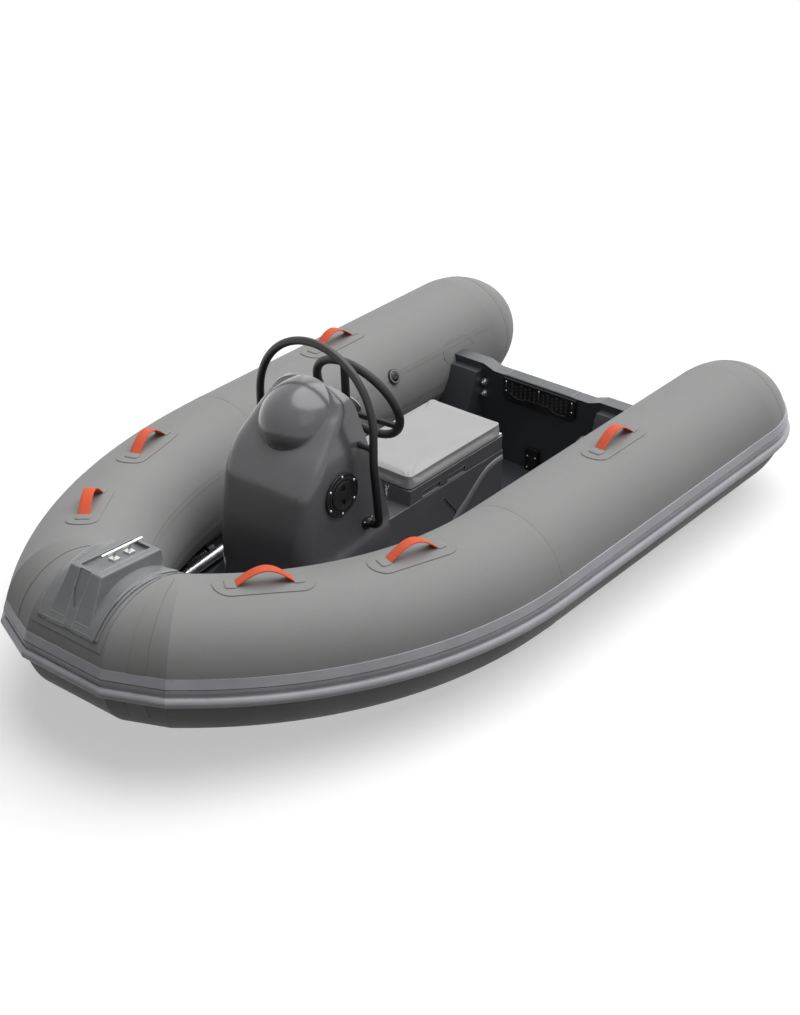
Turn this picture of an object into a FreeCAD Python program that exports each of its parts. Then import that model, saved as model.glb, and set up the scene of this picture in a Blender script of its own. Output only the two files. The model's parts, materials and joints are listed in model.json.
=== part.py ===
"""A small rigid inflatable tender: V hull, deck, five-section tube, console, seat and fittings.

Frame: +X to the bow, +Y to port, +Z up. The origin is on the waterline, on the centreline.
Every solid is written to parts/ under its own name. All sizes are in millimetres and degrees.
"""
import FreeCAD, Part
import math
import os

V = FreeCAD.Vector
PORT = 1
STARBOARD = -1
SIDES = {"port": PORT, "starboard": STARBOARD}

# General clearances
gap = 0.3
overrun = 20.0
parallel_limit = 1e-6

# Buoyancy tube
tube_r = 210.0
tube_axis_y = 574.0
tube_axis_z = 245.0
stern_tip_x = -1400.0
cone_len = 280.0
bend_start_x = 90.0
bend_r = 1453.0
bend_angle = 43.0
bend_tilt = 10.2
gore_len = 92.0

# Rub strake, heights measured from the tube's centre line
strake_top = 44.0
strake_low = -41.0
strake_thick = 7.0
groove_depth = 4.0
band_low = 17.0
rib_height = 10.0
groove_height = 3.0
bead_top = -9.0
bead_proud = 17.0
strake_root = 22.0
strake_wrap_angle = 78.0
strake_top_edge = 4.0
strake_tilt = 9.0

# Hull
transom_aft_x = -945.0
hull_bow_x = 1095.0
keel_z = -160.0
stem_z = 62.0
chine_y = 372.0
chine_z = -62.0
chine_flat = 16.0
chine_bow_z = 70.0
chine_bow_pull = 120.0
keel_start_share = 0.5
keel_power = 3.2
chine_start_share = 0.5
chine_power = 3.5
station_count = 12
flange_in = 92.0
flange_drop = 6.0
hull_top_z = 150.0
hull_wall = 8.0

# Deck
sole_z = -35.0
sole_thick = 12.0
ledge_z = 95.0
ledge_inset = 236.0
well_bow_x = 870.0

# Transom
transom_thick = 55.0
shoulder_z = 314.0
shoulder_y = 245.0
notch_z = 298.0
notch_y = 199.0
transom_half = 392.0
pad_width = 305.0
pad_height = 86.0
pad_thick = 8.0
pad_corner_r = 26.0
pad_drop = 6.0
outer_pad_height = 120.0
drain_width = 54.0
drain_height = 86.0
drain_thick = 14.0
drain_y = 19.0
drain_corner_r = 12.0
knee_reach = 105.0
knee_top = 30.0
knee_drop = 26.0
knee_inset = 8.0

# Towing eyes
eye_rod = 8.0
eye_loop_r = 20.0
eye_reach = 46.0
eye_y = 241.0
eye_z = 222.0
eye_pitch = 44.0
eye_bend_share = 0.45
eye_round_share = 0.9
eye_depth_share = 0.6
washer_thick = 3.0
nut_r = 8.0
nut_len = 9.0
bow_eye_back = 90.0

# Handles
handle_forward_angle = 34.2
handle_middle_angle = 16.0
handle_aft_x = -462.0
handle_roll = 0.6
handle_span = 162.0
handle_rise = 38.0
strap_width = 35.0
strap_thick = 4.0
strap_tab = 28.0
patch_length = 290.0
patch_width = 96.0
patch_thick = 2.0

# Valves
valve_x = -560.0
valve_bow_share = 0.5
valve_r = 26.0
valve_proud = 6.0
valve_roll = -62.0

# Bow moulding, places measured from the nose's centre line
step_top_rear = -118.0
step_top_front = 103.0
step_rear_z = 238.0
step_front_z = 251.0
step_foot_rear = -110.0
step_foot_front = 254.0
step_half_top = 58.0
step_half_base = 100.0
step_face_angle = 53.0
step_heel_angle = 30.0
step_edge_r = 7.0
flange_angle = 58.0
flange_thick = 6.0
flange_half_front = 102.0
flange_half_rear = 130.0
recess_half = 36.0
recess_rim = 14.0
recess_depth = 10.0
groove_half_top = 22.0
groove_half_low = 9.0
bow_patch_half = 135.0
bow_patch_angle = 66.0
bow_patch_heel_angle = 38.0
cleat_len = 150.0
cleat_rod = 9.0
cleat_back = 22.0
cleat_height = 26.0
cleat_pitch = 56.0
cleat_post = 9.0
cleat_foot = 24.0
cleat_foot_thick = 5.0

# Console: stations give the back, the front, the half width and the height of each level outline
console_half = 174.0
console_corner_r = 52.0
console_corner_share = 0.6
console_surface_degree = 2
console_lip = (298.0, 784.0)
console_stations = ((154.0, 556.0, 174.0, 250.0), (158.0, 555.0, 174.0, 340.0))
console_stations += ((181.0, 547.0, 174.0, 418.0),)
console_stations += ((203.0, 536.0, 174.0, 480.0), (224.0, 524.0, 174.0, 530.0))
console_stations += ((240.0, 502.0, 173.0, 575.0),)
console_stations += ((249.0, 478.0, 168.0, 612.0), (256.0, 439.0, 159.0, 650.0))
console_stations += ((263.0, 397.0, 150.0, 690.0),)
console_stations += ((268.0, 362.0, 141.0, 720.0), (274.0, 335.0, 127.0, 745.0))
console_stations += ((282.0, 318.0, 104.0, 762.0),)
console_stations += ((291.0, 306.0, 70.0, 775.0), (296.0, 300.0, 30.0, 783.0))
console_recess_rim = 12.0
console_recess_depth = 26.0
console_recess_low = 640.0
console_recess_back = 254.0
recess_foot_share = 0.4

# The dome moulded into the console's hood
dome_x = 318.0
dome_z = 668.0
dome_long = 168.0
dome_half = 128.0
dome_high = 122.0

# Grab rail
rail_d = 25.0
rail_r = 222.0
rail_x = 284.0
rail_centre_z = 668.0
rail_knee_z = 560.0
rail_knee_r = 400.0
rail_foot_x = 258.0
rail_foot_z = 342.0
rail_bend_r = 27.0
standoff_z = 613.0
standoff_d = 20.0

# Round hatch in the console's port side
hatch_x = 377.0
hatch_z = 487.0
hatch_r = 70.0
hatch_bore_r = 52.0
hatch_flange = 6.0
hatch_lid_proud = 3.0
hatch_depth = 26.0
hatch_lid_thick = 8.0
hatch_fit = 0.5
finger_half = 9.0
finger_deep = 6.0

# Helm and wheel
wheel_x = 88.0
wheel_z = 639.0
wheel_rake = 23.9
wheel_r = 155.0
rim_r = 13.5
wheel_dish = 52.0
hub_r = 34.0
hub_len = 40.0
spoke_width = 26.0
spoke_thick = 9.0
spoke_count = 3
spoke_root_share = 0.6
helm_r = 38.0
helm_gap = 0.5
spindle_r = 9.0
spindle_fit = 0.05
spindle_len = 24.0

# Seat
seat_aft_x = -467.0
seat_front_x = 20.0
seat_half = 148.0
plinth_top_z = 277.0
locker_front_x = -16.0
locker_aft_x = -427.0
locker_half = 110.0
locker_floor_z = -10.0
lid_height = 52.0
lid_rim = 6.0
lid_gap = 1.0
lid_recess_depth = 5.0
lid_recess_len = 92.0
lid_recess_high = 20.0
crease_depth = 3.0
crease_shares = ((0.34, 0.30), (0.40, 0.62), (0.50, 0.86), (0.53, 0.84), (0.43, 0.59), (0.37, 0.30))
lid_recess_xs = (-42.0, -172.0)
cushion_height = 44.0
cushion_inset = 4.0
cushion_corner_r = 24.0
hinge_knuckle_r = 6.0
hinge_leaf = 3.0
hinge_width = 220.0
hinge_leaf_high = 30.0
latch_width = 24.0
latch_thick = 6.0
latch_high = 46.0

# Oars
oar_d = 36.0
oar_fore_x = 575.0
oar_fore_clear = 20.0
oar_aft_x = -60.0
oar_aft_clear = 26.0
blade_len = 380.0
blade_half = 50.0
blade_thick = 9.0
blade_root = 60.0
blade_shoulder = 90.0
blade_corner = 18.0
oar_cap_len = 34.0
oar_cap_d = 40.0


def box(x0, x1, y0, y1, z0, z1):
    """A block between two corners."""
    return Part.makeBox(x1 - x0, y1 - y0, z1 - z0, V(x0, y0, z0))


def cylinder(start, end, r):
    """A round bar from one point to another."""
    return Part.makeCylinder(r, (end - start).Length, start, end - start)


def face(points):
    """A flat face inside a closed outline of corner points."""
    return Part.Face(Part.makePolygon(list(points) + [points[0]]))


def prism(points, push):
    """The outline's face pushed along a vector."""
    return face(points).extrude(push)


def fillet_at(solid, r, keep):
    """Rounds the edges for which keep(edge) is true."""
    return solid.makeFillet(r, [e for e in solid.Edges if keep(e)])


def runs_along(edge, axis):
    """True for a straight edge that lies along an axis."""
    if edge.Curve.TypeId != "Part::GeomLine":
        return False
    return abs(abs(edge.tangentAt(edge.FirstParameter).dot(axis)) - 1) < parallel_limit


def mirrored(shape, side):
    """The port shape as it is, or its mirror image for starboard."""
    if side == PORT:
        return shape
    return shape.mirror(V(0, 0, 0), V(0, 1, 0))


def single(shape):
    """The one solid of a boolean result."""
    solids = shape.removeSplitter().Solids
    return max(solids, key=lambda s: s.Volume)


def save(name, shape):
    """Writes a piece to its own file."""
    shape.exportStep("parts/" + name + ".step")


# The tube's path: straight, then an arc in a plane tilted up towards the bow, then a gore and the nose.
tilt = math.radians(bend_tilt)
arc_out = V(0, math.cos(tilt), -math.sin(tilt))
arc_axis = V(0, -math.sin(tilt), -math.cos(tilt))
bend_start = V(bend_start_x, tube_axis_y, tube_axis_z)
arc_centre = bend_start - arc_out * bend_r
strake_lean = math.radians(strake_tilt)
strake_out = V(0, math.cos(strake_lean), -math.sin(strake_lean))
strake_axis = V(0, -math.sin(strake_lean), -math.cos(strake_lean))
strake_centre = bend_start - strake_out * bend_r


def arc_point(angle):
    """A point on the bow arc, and the direction of travel there."""
    a = math.radians(angle)
    point = arc_centre + V(1, 0, 0) * (bend_r * math.sin(a)) + arc_out * (bend_r * math.cos(a))
    heading = V(1, 0, 0) * math.cos(a) - arc_out * math.sin(a)
    return point, heading


def strake_arc(angle):
    """The strake's own arc climbs less than the tube's: its centre line and direction at an angle."""
    a = math.radians(angle)
    point = strake_centre + V(1, 0, 0) * (bend_r * math.sin(a)) + strake_out * (bend_r * math.cos(a))
    heading = V(1, 0, 0) * math.cos(a) - strake_out * math.sin(a)
    return point, heading


bow_joint, bow_heading = arc_point(bend_angle)
strake_joint, strake_heading = strake_arc(bend_angle)
gore_turn = math.radians((bend_angle + 90) / 2)
gore_heading = V(math.cos(gore_turn), -math.sin(gore_turn), 0)
nose_joint = bow_joint + gore_heading * gore_len
nose_heading = V(0, -1, 0)
nose_x = nose_joint.x
nose_z = nose_joint.z


def path_angle(x):
    """The arc angle at a place along the boat, zero on the straight part."""
    if x <= bend_start_x:
        return 0
    return math.degrees(math.asin((x - bend_start_x) / bend_r))


def path_at(x):
    """The tube's centre and heading at a place along the boat."""
    if x <= bend_start_x:
        return V(x, tube_axis_y, tube_axis_z), V(1, 0, 0)
    return arc_point(path_angle(x))


def ahead_of(point, normal):
    """A big block on the far side of a plane, to cut mitres with."""
    size = bend_r
    block = Part.makeBox(size, size, size, V(-size / 2, -size / 2, 0))
    block.Placement = FreeCAD.Placement(point, FreeCAD.Rotation(V(0, 0, 1), normal))
    return block


first_mitre = (bow_heading + gore_heading).normalize()
second_mitre = (gore_heading + nose_heading).normalize()
strake_mitre = (strake_heading + gore_heading).normalize()
strake_nose_joint = strake_joint + gore_heading * gore_len


def arm(r):
    """The side tube at a given radius, from the cone's base to the first bow mitre."""
    base = V(stern_tip_x + cone_len, tube_axis_y, tube_axis_z)
    straight = cylinder(base, bend_start, r)
    ring = Part.Face(Part.Wire(Part.makeCircle(r, bend_start, V(1, 0, 0))))
    bend = ring.revolve(arc_centre, arc_axis, bend_angle)
    end = cylinder(bow_joint, bow_joint + bow_heading * tube_r, r)
    whole = straight.fuse([bend, end])
    return single(whole.cut(ahead_of(bow_joint, first_mitre)))


def nose(r):
    """The bow tube at a given radius, a gore each side of a straight middle."""
    back = bow_joint - gore_heading * tube_r
    gore = cylinder(back, nose_joint + gore_heading * tube_r, r)
    gore = gore.cut(ahead_of(bow_joint, first_mitre * -1)).cut(ahead_of(nose_joint, second_mitre))
    middle = cylinder(nose_joint - nose_heading * tube_r, V(nose_x, 0, nose_z), r)
    middle = middle.cut(ahead_of(nose_joint, second_mitre * -1))
    half = gore.fuse(middle)
    return single(half.fuse(mirrored(half, STARBOARD)))


def cone(extra):
    """The domed stern end: half an ellipse turned about the tube's centre line."""
    long_r = cone_len + extra
    round_r = tube_r + extra
    base = V(stern_tip_x + cone_len, tube_axis_y, tube_axis_z)
    curve = Part.Ellipse(base - V(long_r, 0, 0), base + V(0, 0, round_r), base)
    quarter = curve.toShape(0, math.pi / 2)
    ends = [v.Point for v in quarter.Vertexes]
    outline = Part.Wire([quarter, Part.makeLine(ends[1], base), Part.makeLine(base, ends[0])])
    return single(Part.Face(outline).revolve(base, V(1, 0, 0), 360))


def clear_tubes():
    """Both tubes with the nose and cones, grown by the clearance, to cut seats with."""
    half = arm(tube_r + gap).fuse(cone(gap))
    return half.fuse([mirrored(half, STARBOARD), nose(tube_r + gap)])


def strake_face(centre, out, up):
    """The rub strake's section: a flat band, a rib between two grooves, and a round bead."""
    r = tube_r
    inner = r - strake_root
    outer = r + strake_thick
    valley = outer - groove_depth
    first_valley = band_low - groove_height
    rib_low = first_valley - rib_height
    bead_mid = (bead_top + strake_low) / 2
    edge = math.sqrt(r ** 2 - strake_top ** 2) + strake_top_edge

    def at(u, v):
        return centre + out * u + up * v

    corners = [at(inner, strake_low), at(inner, strake_top), at(edge, strake_top), at(outer, band_low)]
    corners += [at(valley, band_low), at(valley, first_valley), at(outer, first_valley)]
    corners += [at(outer, rib_low), at(valley, rib_low), at(valley, bead_top)]
    edges = [Part.makeLine(a, b) for a, b in zip(corners, corners[1:])]
    low_corner = at(valley - groove_depth, strake_low)
    edges.append(Part.Arc(corners[-1], at(r + bead_proud, bead_mid), low_corner).toShape())
    edges.append(Part.makeLine(low_corner, corners[0]))
    return Part.Face(Part.Wire(edges))


def turned(vector, start, end):
    """A vector carried through the turn from one heading to the next."""
    return FreeCAD.Rotation(start, end).multVec(vector)


def strake_arm():
    """The side strake, from its end on the stern cone to the first bow mitre."""
    base = V(stern_tip_x + cone_len, tube_axis_y, tube_axis_z)
    section = strake_face(base, V(0, 1, 0), V(0, 0, 1))
    straight = section.extrude(bend_start - base)
    start = strake_face(bend_start, V(0, 1, 0), V(0, 0, 1))
    bend = start.revolve(strake_centre, strake_axis, bend_angle)
    out, up = arc_frame()
    end = strake_face(strake_joint, out, up).extrude(strake_heading * tube_r)
    level = V(0, 0, 0)
    path = Part.Ellipse(base - V(cone_len, 0, 0), base + V(0, tube_r, 0), base)
    first = path.parameter(base + V(0, tube_r, 0))
    last = first - math.radians(strake_wrap_angle)
    curve = path.toShape(last, first)
    shell = Part.BRepOffsetAPI.MakePipeShell(Part.Wire([curve]))
    shell.setBiNormalMode(V(0, 0, 1))
    shell.add(section.OuterWire)
    shell.build()
    shell.makeSolid()
    wrap = shell.shape()
    whole = straight.fuse([bend, end, wrap])
    whole = whole.cut(ahead_of(strake_joint, strake_mitre))
    return single(whole.cut([arm(tube_r + gap), cone(gap), nose(tube_r + gap)]))


def arc_frame():
    """The strake's outward and upward directions at the end of the arc."""
    spin = FreeCAD.Rotation(strake_axis, bend_angle)
    return spin.multVec(V(0, 1, 0)), spin.multVec(V(0, 0, 1))


def strake_nose():
    """The strake round the gores and the nose, mitred like the tube."""
    out, up = arc_frame()
    out_gore = turned(out, strake_heading, gore_heading)
    up_gore = turned(up, strake_heading, gore_heading)
    out_nose = turned(out_gore, gore_heading, nose_heading)
    up_nose = turned(up_gore, gore_heading, nose_heading)
    back = strake_joint - gore_heading * tube_r
    gore = strake_face(back, out_gore, up_gore).extrude(gore_heading * (gore_len + 2 * tube_r))
    gore = gore.cut(ahead_of(strake_joint, strake_mitre * -1))
    gore = gore.cut(ahead_of(strake_nose_joint, second_mitre))
    start = strake_nose_joint - nose_heading * tube_r
    middle = strake_face(start, out_nose, up_nose).extrude(V(0, -start.y, 0))
    middle = middle.cut(ahead_of(strake_nose_joint, second_mitre * -1))
    half = gore.fuse(middle)
    whole = half.fuse(mirrored(half, STARBOARD))
    side_tube = arm(tube_r + gap)
    return single(whole.cut([nose(tube_r + gap), side_tube, mirrored(side_tube, STARBOARD)]))


def rise(share, start, power):
    """Zero up to a share of the length, then a smooth climb to one."""
    if share <= start:
        return 0
    return ((share - start) / (1 - start)) ** power


def keel_at(share):
    """The keel's height at a share of the hull's length."""
    return keel_z + (stem_z - keel_z) * rise(share, keel_start_share, keel_power)


def hull_section(share, inset, aft):
    """A closed V section across the boat, pulled in by an inset."""
    x = transom_aft_x + (hull_bow_x - inset - transom_aft_x) * share
    if share == 0:
        x -= aft
    centre = path_at(min(max(x, transom_aft_x), bow_joint.x))[0]
    flange_y = centre.y - flange_in
    flange_z = centre.z - math.sqrt(tube_r ** 2 - flange_in ** 2) - flange_drop
    keel = keel_at(share) + inset
    climb = rise(share, chine_start_share, chine_power)
    chine = chine_z + (chine_bow_z - chine_z) * climb + inset
    half = flange_y * (chine_y - chine_bow_pull * climb) / (tube_axis_y - flange_in) - inset
    side = flange_y - inset
    corners = [(0, keel), (half, chine), (half + chine_flat, chine), (side, flange_z), (side, hull_top_z)]
    left = [V(x, -y, z) for y, z in reversed(corners[1:])]
    right = [V(x, y, z) for y, z in corners]
    return Part.makePolygon(left + right + [left[0]])


def hull_form(inset, aft):
    """The hull's outer form, or a smaller one inside it."""
    wires = [hull_section(k / station_count, inset, aft) for k in range(station_count + 1)]
    return Part.makeLoft(wires, True, False)


def well_face():
    """The cockpit well in plan: straight sides, then arcs that follow the tubes."""
    r = bend_r - ledge_inset
    half = tube_axis_y - ledge_inset
    centre_y = tube_axis_y - bend_r
    front = well_bow_x
    reach = math.asin((front - bend_start_x) / r)
    y_front = centre_y + r * math.cos(reach)
    y_mid = centre_y + r * math.cos(reach / 2)
    x_mid = bend_start_x + r * math.sin(reach / 2)
    aft = transom_aft_x + transom_thick
    z = sole_z
    port = Part.Arc(V(bend_start_x, half, z), V(x_mid, y_mid, z), V(front, y_front, z)).toShape()
    star = Part.Arc(V(bend_start_x, -half, z), V(x_mid, -y_mid, z), V(front, -y_front, z)).toShape()
    edges = [Part.makeLine(V(aft, half, z), V(bend_start_x, half, z)), port]
    edges += [Part.makeLine(V(front, y_front, z), V(front, -y_front, z)), star]
    edges += [Part.makeLine(V(bend_start_x, -half, z), V(aft, -half, z))]
    edges += [Part.makeLine(V(aft, -half, z), V(aft, half, z))]
    return Part.Face(Part.Wire(Part.__sortEdges__(edges)))


def hull(tubes, inner):
    """The V bottom as one solid, with thin sides that hold the deck tray."""
    low = sole_z - sole_thick
    high = hull_top_z + overrun
    under = box(transom_aft_x - overrun, hull_bow_x, -tube_axis_y, tube_axis_y, low, high)
    return single(hull_form(0, 0).cut(inner.common(under)).cut(tubes).cut(bow_eye_holes()))


def deck(tubes):
    """The tray between the tubes: the sole, the sides and the ledges."""
    blank = hull_form(hull_wall + gap, overrun)
    aft = transom_aft_x + transom_thick + gap
    low = sole_z - sole_thick + gap
    keep = box(aft, hull_bow_x, -tube_axis_y, tube_axis_y, low, ledge_z)
    well = well_face().extrude(V(0, 0, hull_top_z))
    well = well.common(hull_form(hull_wall + gap + sole_thick, overrun))
    return single(blank.common(keep).cut(well).cut(tubes))


def transom(tubes):
    """The moulded transom: shoulders at the tubes, knees in the corners, a lower top edge for the motor."""
    low = sole_z - sole_thick + gap
    half = [(transom_half, low), (transom_half, shoulder_z), (shoulder_y, shoulder_z), (notch_y, notch_z)]
    ring = [V(transom_aft_x, y, z) for y, z in half] + [V(transom_aft_x, -y, z) for y, z in reversed(half)]
    plate = prism(ring, V(transom_thick, 0, 0))
    inside = hull_form(hull_wall + gap, overrun)
    above = box(transom_aft_x, 0, -transom_half, transom_half, hull_top_z - overrun, shoulder_z)
    knee = transom_knee(tubes)
    body = single(plate.common(inside.fuse(above)).cut(tubes))
    return single(body.fuse([knee, mirrored(knee, STARBOARD)]))


def transom_knee(tubes):
    """A sloping gusset in the port corner, from the transom's shoulder down to the deck's ledge."""
    x = transom_aft_x + transom_thick
    y = shoulder_y + knee_inset
    top = shoulder_z - knee_drop
    base = V(x, y, ledge_z + gap)
    side = [base, base + V(knee_reach, 0, 0), V(x + knee_top, y, top), V(x, y, top)]
    return single(prism(side, V(0, transom_half - y, 0)).cut(tubes))


def clamp_pad(x, height, thick):
    """A pad with rounded lower corners, its top under the transom's edge."""
    top = notch_z - pad_drop
    pad = box(x, x + thick, -pad_width / 2, pad_width / 2, top - height, top)
    low = [e for e in pad.Edges if runs_along(e, V(1, 0, 0)) and e.CenterOfMass.z < top - height / 2]
    return pad.makeFillet(pad_corner_r, low)


def drain_cover():
    """The black scupper cover at the foot of the transom."""
    x = transom_aft_x + transom_thick + gap
    half = drain_width / 2
    block = box(x, x + drain_thick, -drain_y - half, half - drain_y, sole_z + gap, sole_z + drain_height)
    middle = sole_z + drain_height / 2
    top = [e for e in block.Edges if runs_along(e, V(1, 0, 0)) and e.CenterOfMass.z > middle]
    return block.makeFillet(drain_corner_r, top)


def rod(points, radii, r):
    """A round rod: straight runs joined by arcs that turn about each bend's centre."""
    pieces = []
    start = points[0]
    for before, corner, after, bend in zip(points, points[1:], points[2:], radii):
        a = (before - corner).normalize()
        b = (after - corner).normalize()
        half = a.getAngle(b) / 2
        centre = corner + (a + b).normalize() * (bend / math.sin(half))
        entry = corner + a * (bend / math.tan(half))
        disc = Part.Face(Part.Wire(Part.makeCircle(r, entry, a)))
        axis = (entry - centre).cross(a * -1)
        pieces.append(cylinder(start, entry, r))
        pieces.append(disc.revolve(centre, axis, 180 - math.degrees(2 * half)))
        start = corner + b * (bend / math.tan(half))
    pieces.append(cylinder(start, points[-1], r))
    return single(pieces[0].fuse(pieces[1:]))


def stern_eye():
    """A U bolt through the transom, with washers outside and nuts inside."""
    r = eye_rod / 2
    inside = transom_aft_x + transom_thick
    tip = inside + nut_len + eye_rod
    top = eye_z + eye_pitch / 2
    low = eye_z - eye_pitch / 2
    back = transom_aft_x - eye_reach
    path = [V(tip, eye_y, top), V(back, eye_y, top), V(back, eye_y, low), V(tip, eye_y, low)]
    fittings = []
    for z in (top, low):
        fittings.append(Part.makeCylinder(nut_r, nut_len, V(inside + gap, eye_y, z), V(1, 0, 0)))
        washer = V(transom_aft_x - gap - washer_thick, eye_y, z)
        fittings.append(Part.makeCylinder(nut_r, washer_thick, washer, V(1, 0, 0)))
    return single(rod(path, [eye_pitch * eye_bend_share] * 2, r).fuse(fittings))


def eye_holes():
    """Clearance holes for both towing eyes."""
    holes = []
    for side in SIDES.values():
        for z in (eye_z - eye_pitch / 2, eye_z + eye_pitch / 2):
            start = V(transom_aft_x - overrun, side * eye_y, z)
            long = transom_thick + 2 * overrun
            holes.append(Part.makeCylinder(eye_rod / 2 + gap, long, start, V(1, 0, 0)))
    return holes


def surface_frame(x, roll):
    """On the port tube: centre, heading, outward and upward turned by a roll from the top."""
    centre, heading = path_at(x)
    side = V(0, 0, 1).cross(heading).normalize()
    up = heading.cross(side)
    a = math.radians(roll)
    out = side * math.sin(a) + up * math.cos(a)
    across = side * math.cos(a) - up * math.sin(a)
    return centre, heading, out, across


def handle_places():
    """Where each pair of handles sits along the boat: two on the bow arc and one on the straight."""
    forward = arc_point(handle_forward_angle)[0]
    middle = arc_point(handle_middle_angle)[0]
    return {"forward": forward.x, "middle": middle.x, "aft": handle_aft_x}


def handle(x):
    """A flat webbing strap arched over its patch, with a tab at each end."""
    centre, heading, out, across = surface_frame(x, handle_roll)
    half = handle_span / 2
    tab = half + strap_tab
    base = tube_r + patch_thick + 2 * gap + bend_lift(x, tab)

    def at(s, h):
        return centre + heading * s + out * (base + h) - across * (strap_width / 2)

    t = strap_thick
    under = Part.Arc(at(t - half, 0), at(0, handle_rise), at(half - t, 0)).toShape()
    over = Part.Arc(at(-half, t), at(0, handle_rise + t), at(half, t)).toShape()
    right = [at(half - t, 0), at(tab, 0), at(tab, t), at(half, t)]
    left = [at(-half, t), at(-tab, t), at(-tab, 0), at(t - half, 0)]
    edges = [under, over]
    for line in (right, left):
        edges += [Part.makeLine(a, b) for a, b in zip(line, line[1:])]
    outline = Part.Wire(Part.__sortEdges__(edges))
    return Part.Face(outline).extrude(across * strap_width)


def bend_lift(x, s):
    """How far the bent tube's crown rises above its tangent at a distance along it."""
    if x <= bend_start_x:
        return 0
    return s ** 2 / (2 * bend_r) * math.sin(tilt)


def handle_patch(x):
    """A thin rounded patch that lies on the tube under a handle."""
    centre, heading, out, across = surface_frame(x, handle_roll)
    half = patch_length / 2 - patch_width / 2
    start = centre - across * (patch_width / 2)
    corner = [start - heading * half, start + heading * half]
    far = [corner[1] + across * patch_width, corner[0] + across * patch_width]
    nose_tip = centre + heading * (patch_length / 2)
    tail_tip = centre - heading * (patch_length / 2)
    edges = [Part.makeLine(corner[0], corner[1]), Part.Arc(corner[1], nose_tip, far[0]).toShape()]
    edges += [Part.makeLine(far[0], far[1]), Part.Arc(far[1], tail_tip, corner[0]).toShape()]
    stamp = Part.Face(Part.Wire(edges)).extrude(out * (tube_r + overrun))
    return single(stamp.common(arm(tube_r + gap + patch_thick)).cut(arm(tube_r + gap)))


def valves():
    """Inflation valves on the inner sides of the side tubes, and one on the bow tube."""
    centre, heading, out, across = surface_frame(valve_x, valve_roll)
    seat = centre + out * (tube_r - valve_proud)
    disc = single(Part.makeCylinder(valve_r, 2 * valve_proud, seat, out).cut(arm(tube_r + gap)))
    a = math.radians(valve_roll)
    nose_out = V(math.sin(a), 0, math.cos(a))
    seat = V(nose_x, nose_joint.y * valve_bow_share, nose_z) + nose_out * (tube_r - valve_proud)
    bow_disc = single(Part.makeCylinder(valve_r, 2 * valve_proud, seat, nose_out).cut(nose(tube_r + gap)))
    return Part.makeCompound([disc, mirrored(disc, STARBOARD), bow_disc])


def nose_wrap(low, high, half_rear, half_front, aft_angle, fore_angle):
    """A skin round the bow tube between two radii, two angles from the top and two half widths."""
    ring = nose(high).cut(nose(low))
    aft_x = nose_x - high * math.sin(math.radians(aft_angle))
    fore_x = nose_x + high * math.sin(math.radians(fore_angle))
    plan = [V(aft_x, half_rear, nose_z), V(fore_x, half_front, nose_z)]
    plan += [V(fore_x, -half_front, nose_z), V(aft_x, -half_rear, nose_z)]
    return ring.common(prism(plan, V(0, 0, 2 * tube_r)))


def bow_patch():
    """A thin fabric patch that wraps the bow tube under the moulding."""
    low = tube_r + gap
    half = bow_patch_half
    return single(nose_wrap(low, low + patch_thick, half, half, bow_patch_heel_angle, bow_patch_angle))


def step_side_view():
    """The moulding's corners seen from the side, from the rear foot over the top to the front foot."""
    rear_low = V(nose_x + step_foot_rear, 0, nose_z)
    rear_top = V(nose_x + step_top_rear, 0, nose_z + step_rear_z)
    front_top = V(nose_x + step_top_front, 0, nose_z + step_front_z)
    front_low = V(nose_x + step_foot_front, 0, nose_z)
    return [rear_low, rear_top, front_top, front_low]


def step_front_view(top_half, low_half, x):
    """A tapered outline across the boat, from the nose's centre line up past the moulding's top."""
    top = nose_z + step_front_z + recess_depth
    return [V(x, low_half, nose_z), V(x, top_half, top), V(x, -top_half, top), V(x, -low_half, nose_z)]


def nose_sector(aft_angle, fore_angle, half):
    """A wedge about the bow tube's centre line, between two angles from the top."""
    centre = V(nose_x, -half, nose_z)
    corners = [centre]
    for angle in (-aft_angle, (fore_angle - aft_angle) / 2, fore_angle):
        a = math.radians(angle)
        corners.append(centre + V(math.sin(a), 0, math.cos(a)) * (2 * tube_r))
    return prism(corners, V(0, 2 * half, 0))


def bow_step():
    """The moulded saddle on the bow tube: recessed top, sloping flanks, grooved front, foot flange."""
    x = nose_x + step_foot_rear - recess_rim
    length = step_foot_front - step_foot_rear + 2 * recess_rim
    side = step_side_view()
    across = V(0, 2 * step_half_base, 0)
    body = prism([p - across * 0.5 for p in side], across)
    body = body.common(prism(step_front_view(step_half_top, step_half_base, x), V(length, 0, 0)))
    edges = [e for e in body.Edges if e.CenterOfMass.z > nose_z + step_rear_z / 2]
    body = body.makeFillet(step_edge_r, edges)
    seat = tube_r + 2 * gap + patch_thick
    body = body.common(nose_sector(step_heel_angle, step_face_angle, step_half_base)).cut(nose(seat))
    skirt_top = seat + flange_thick
    halves = (flange_half_rear, flange_half_front)
    body = body.fuse(nose_wrap(seat, skirt_top, *halves, step_heel_angle, flange_angle))
    start = side[1] + V(recess_rim, 0, -recess_depth)
    end = side[2] + V(-recess_rim, 0, -recess_depth)
    pocket = [start, end, end + V(0, 0, 2 * recess_depth), start + V(0, 0, 2 * recess_depth)]
    wide = V(0, 2 * recess_half, 0)
    body = body.cut(prism([p - wide * 0.5 for p in pocket], wide))
    deep = V(-recess_depth, 0, 0)
    high = side[2] + V(0, 0, recess_depth)
    slab = [high + deep, high - deep, side[3] - deep, side[3] + deep]
    groove = prism([p - wide * 0.5 for p in slab], wide)
    groove = groove.common(prism(step_front_view(groove_half_top, groove_half_low, x), V(length, 0, 0)))
    return single(body.cut(groove))


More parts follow.
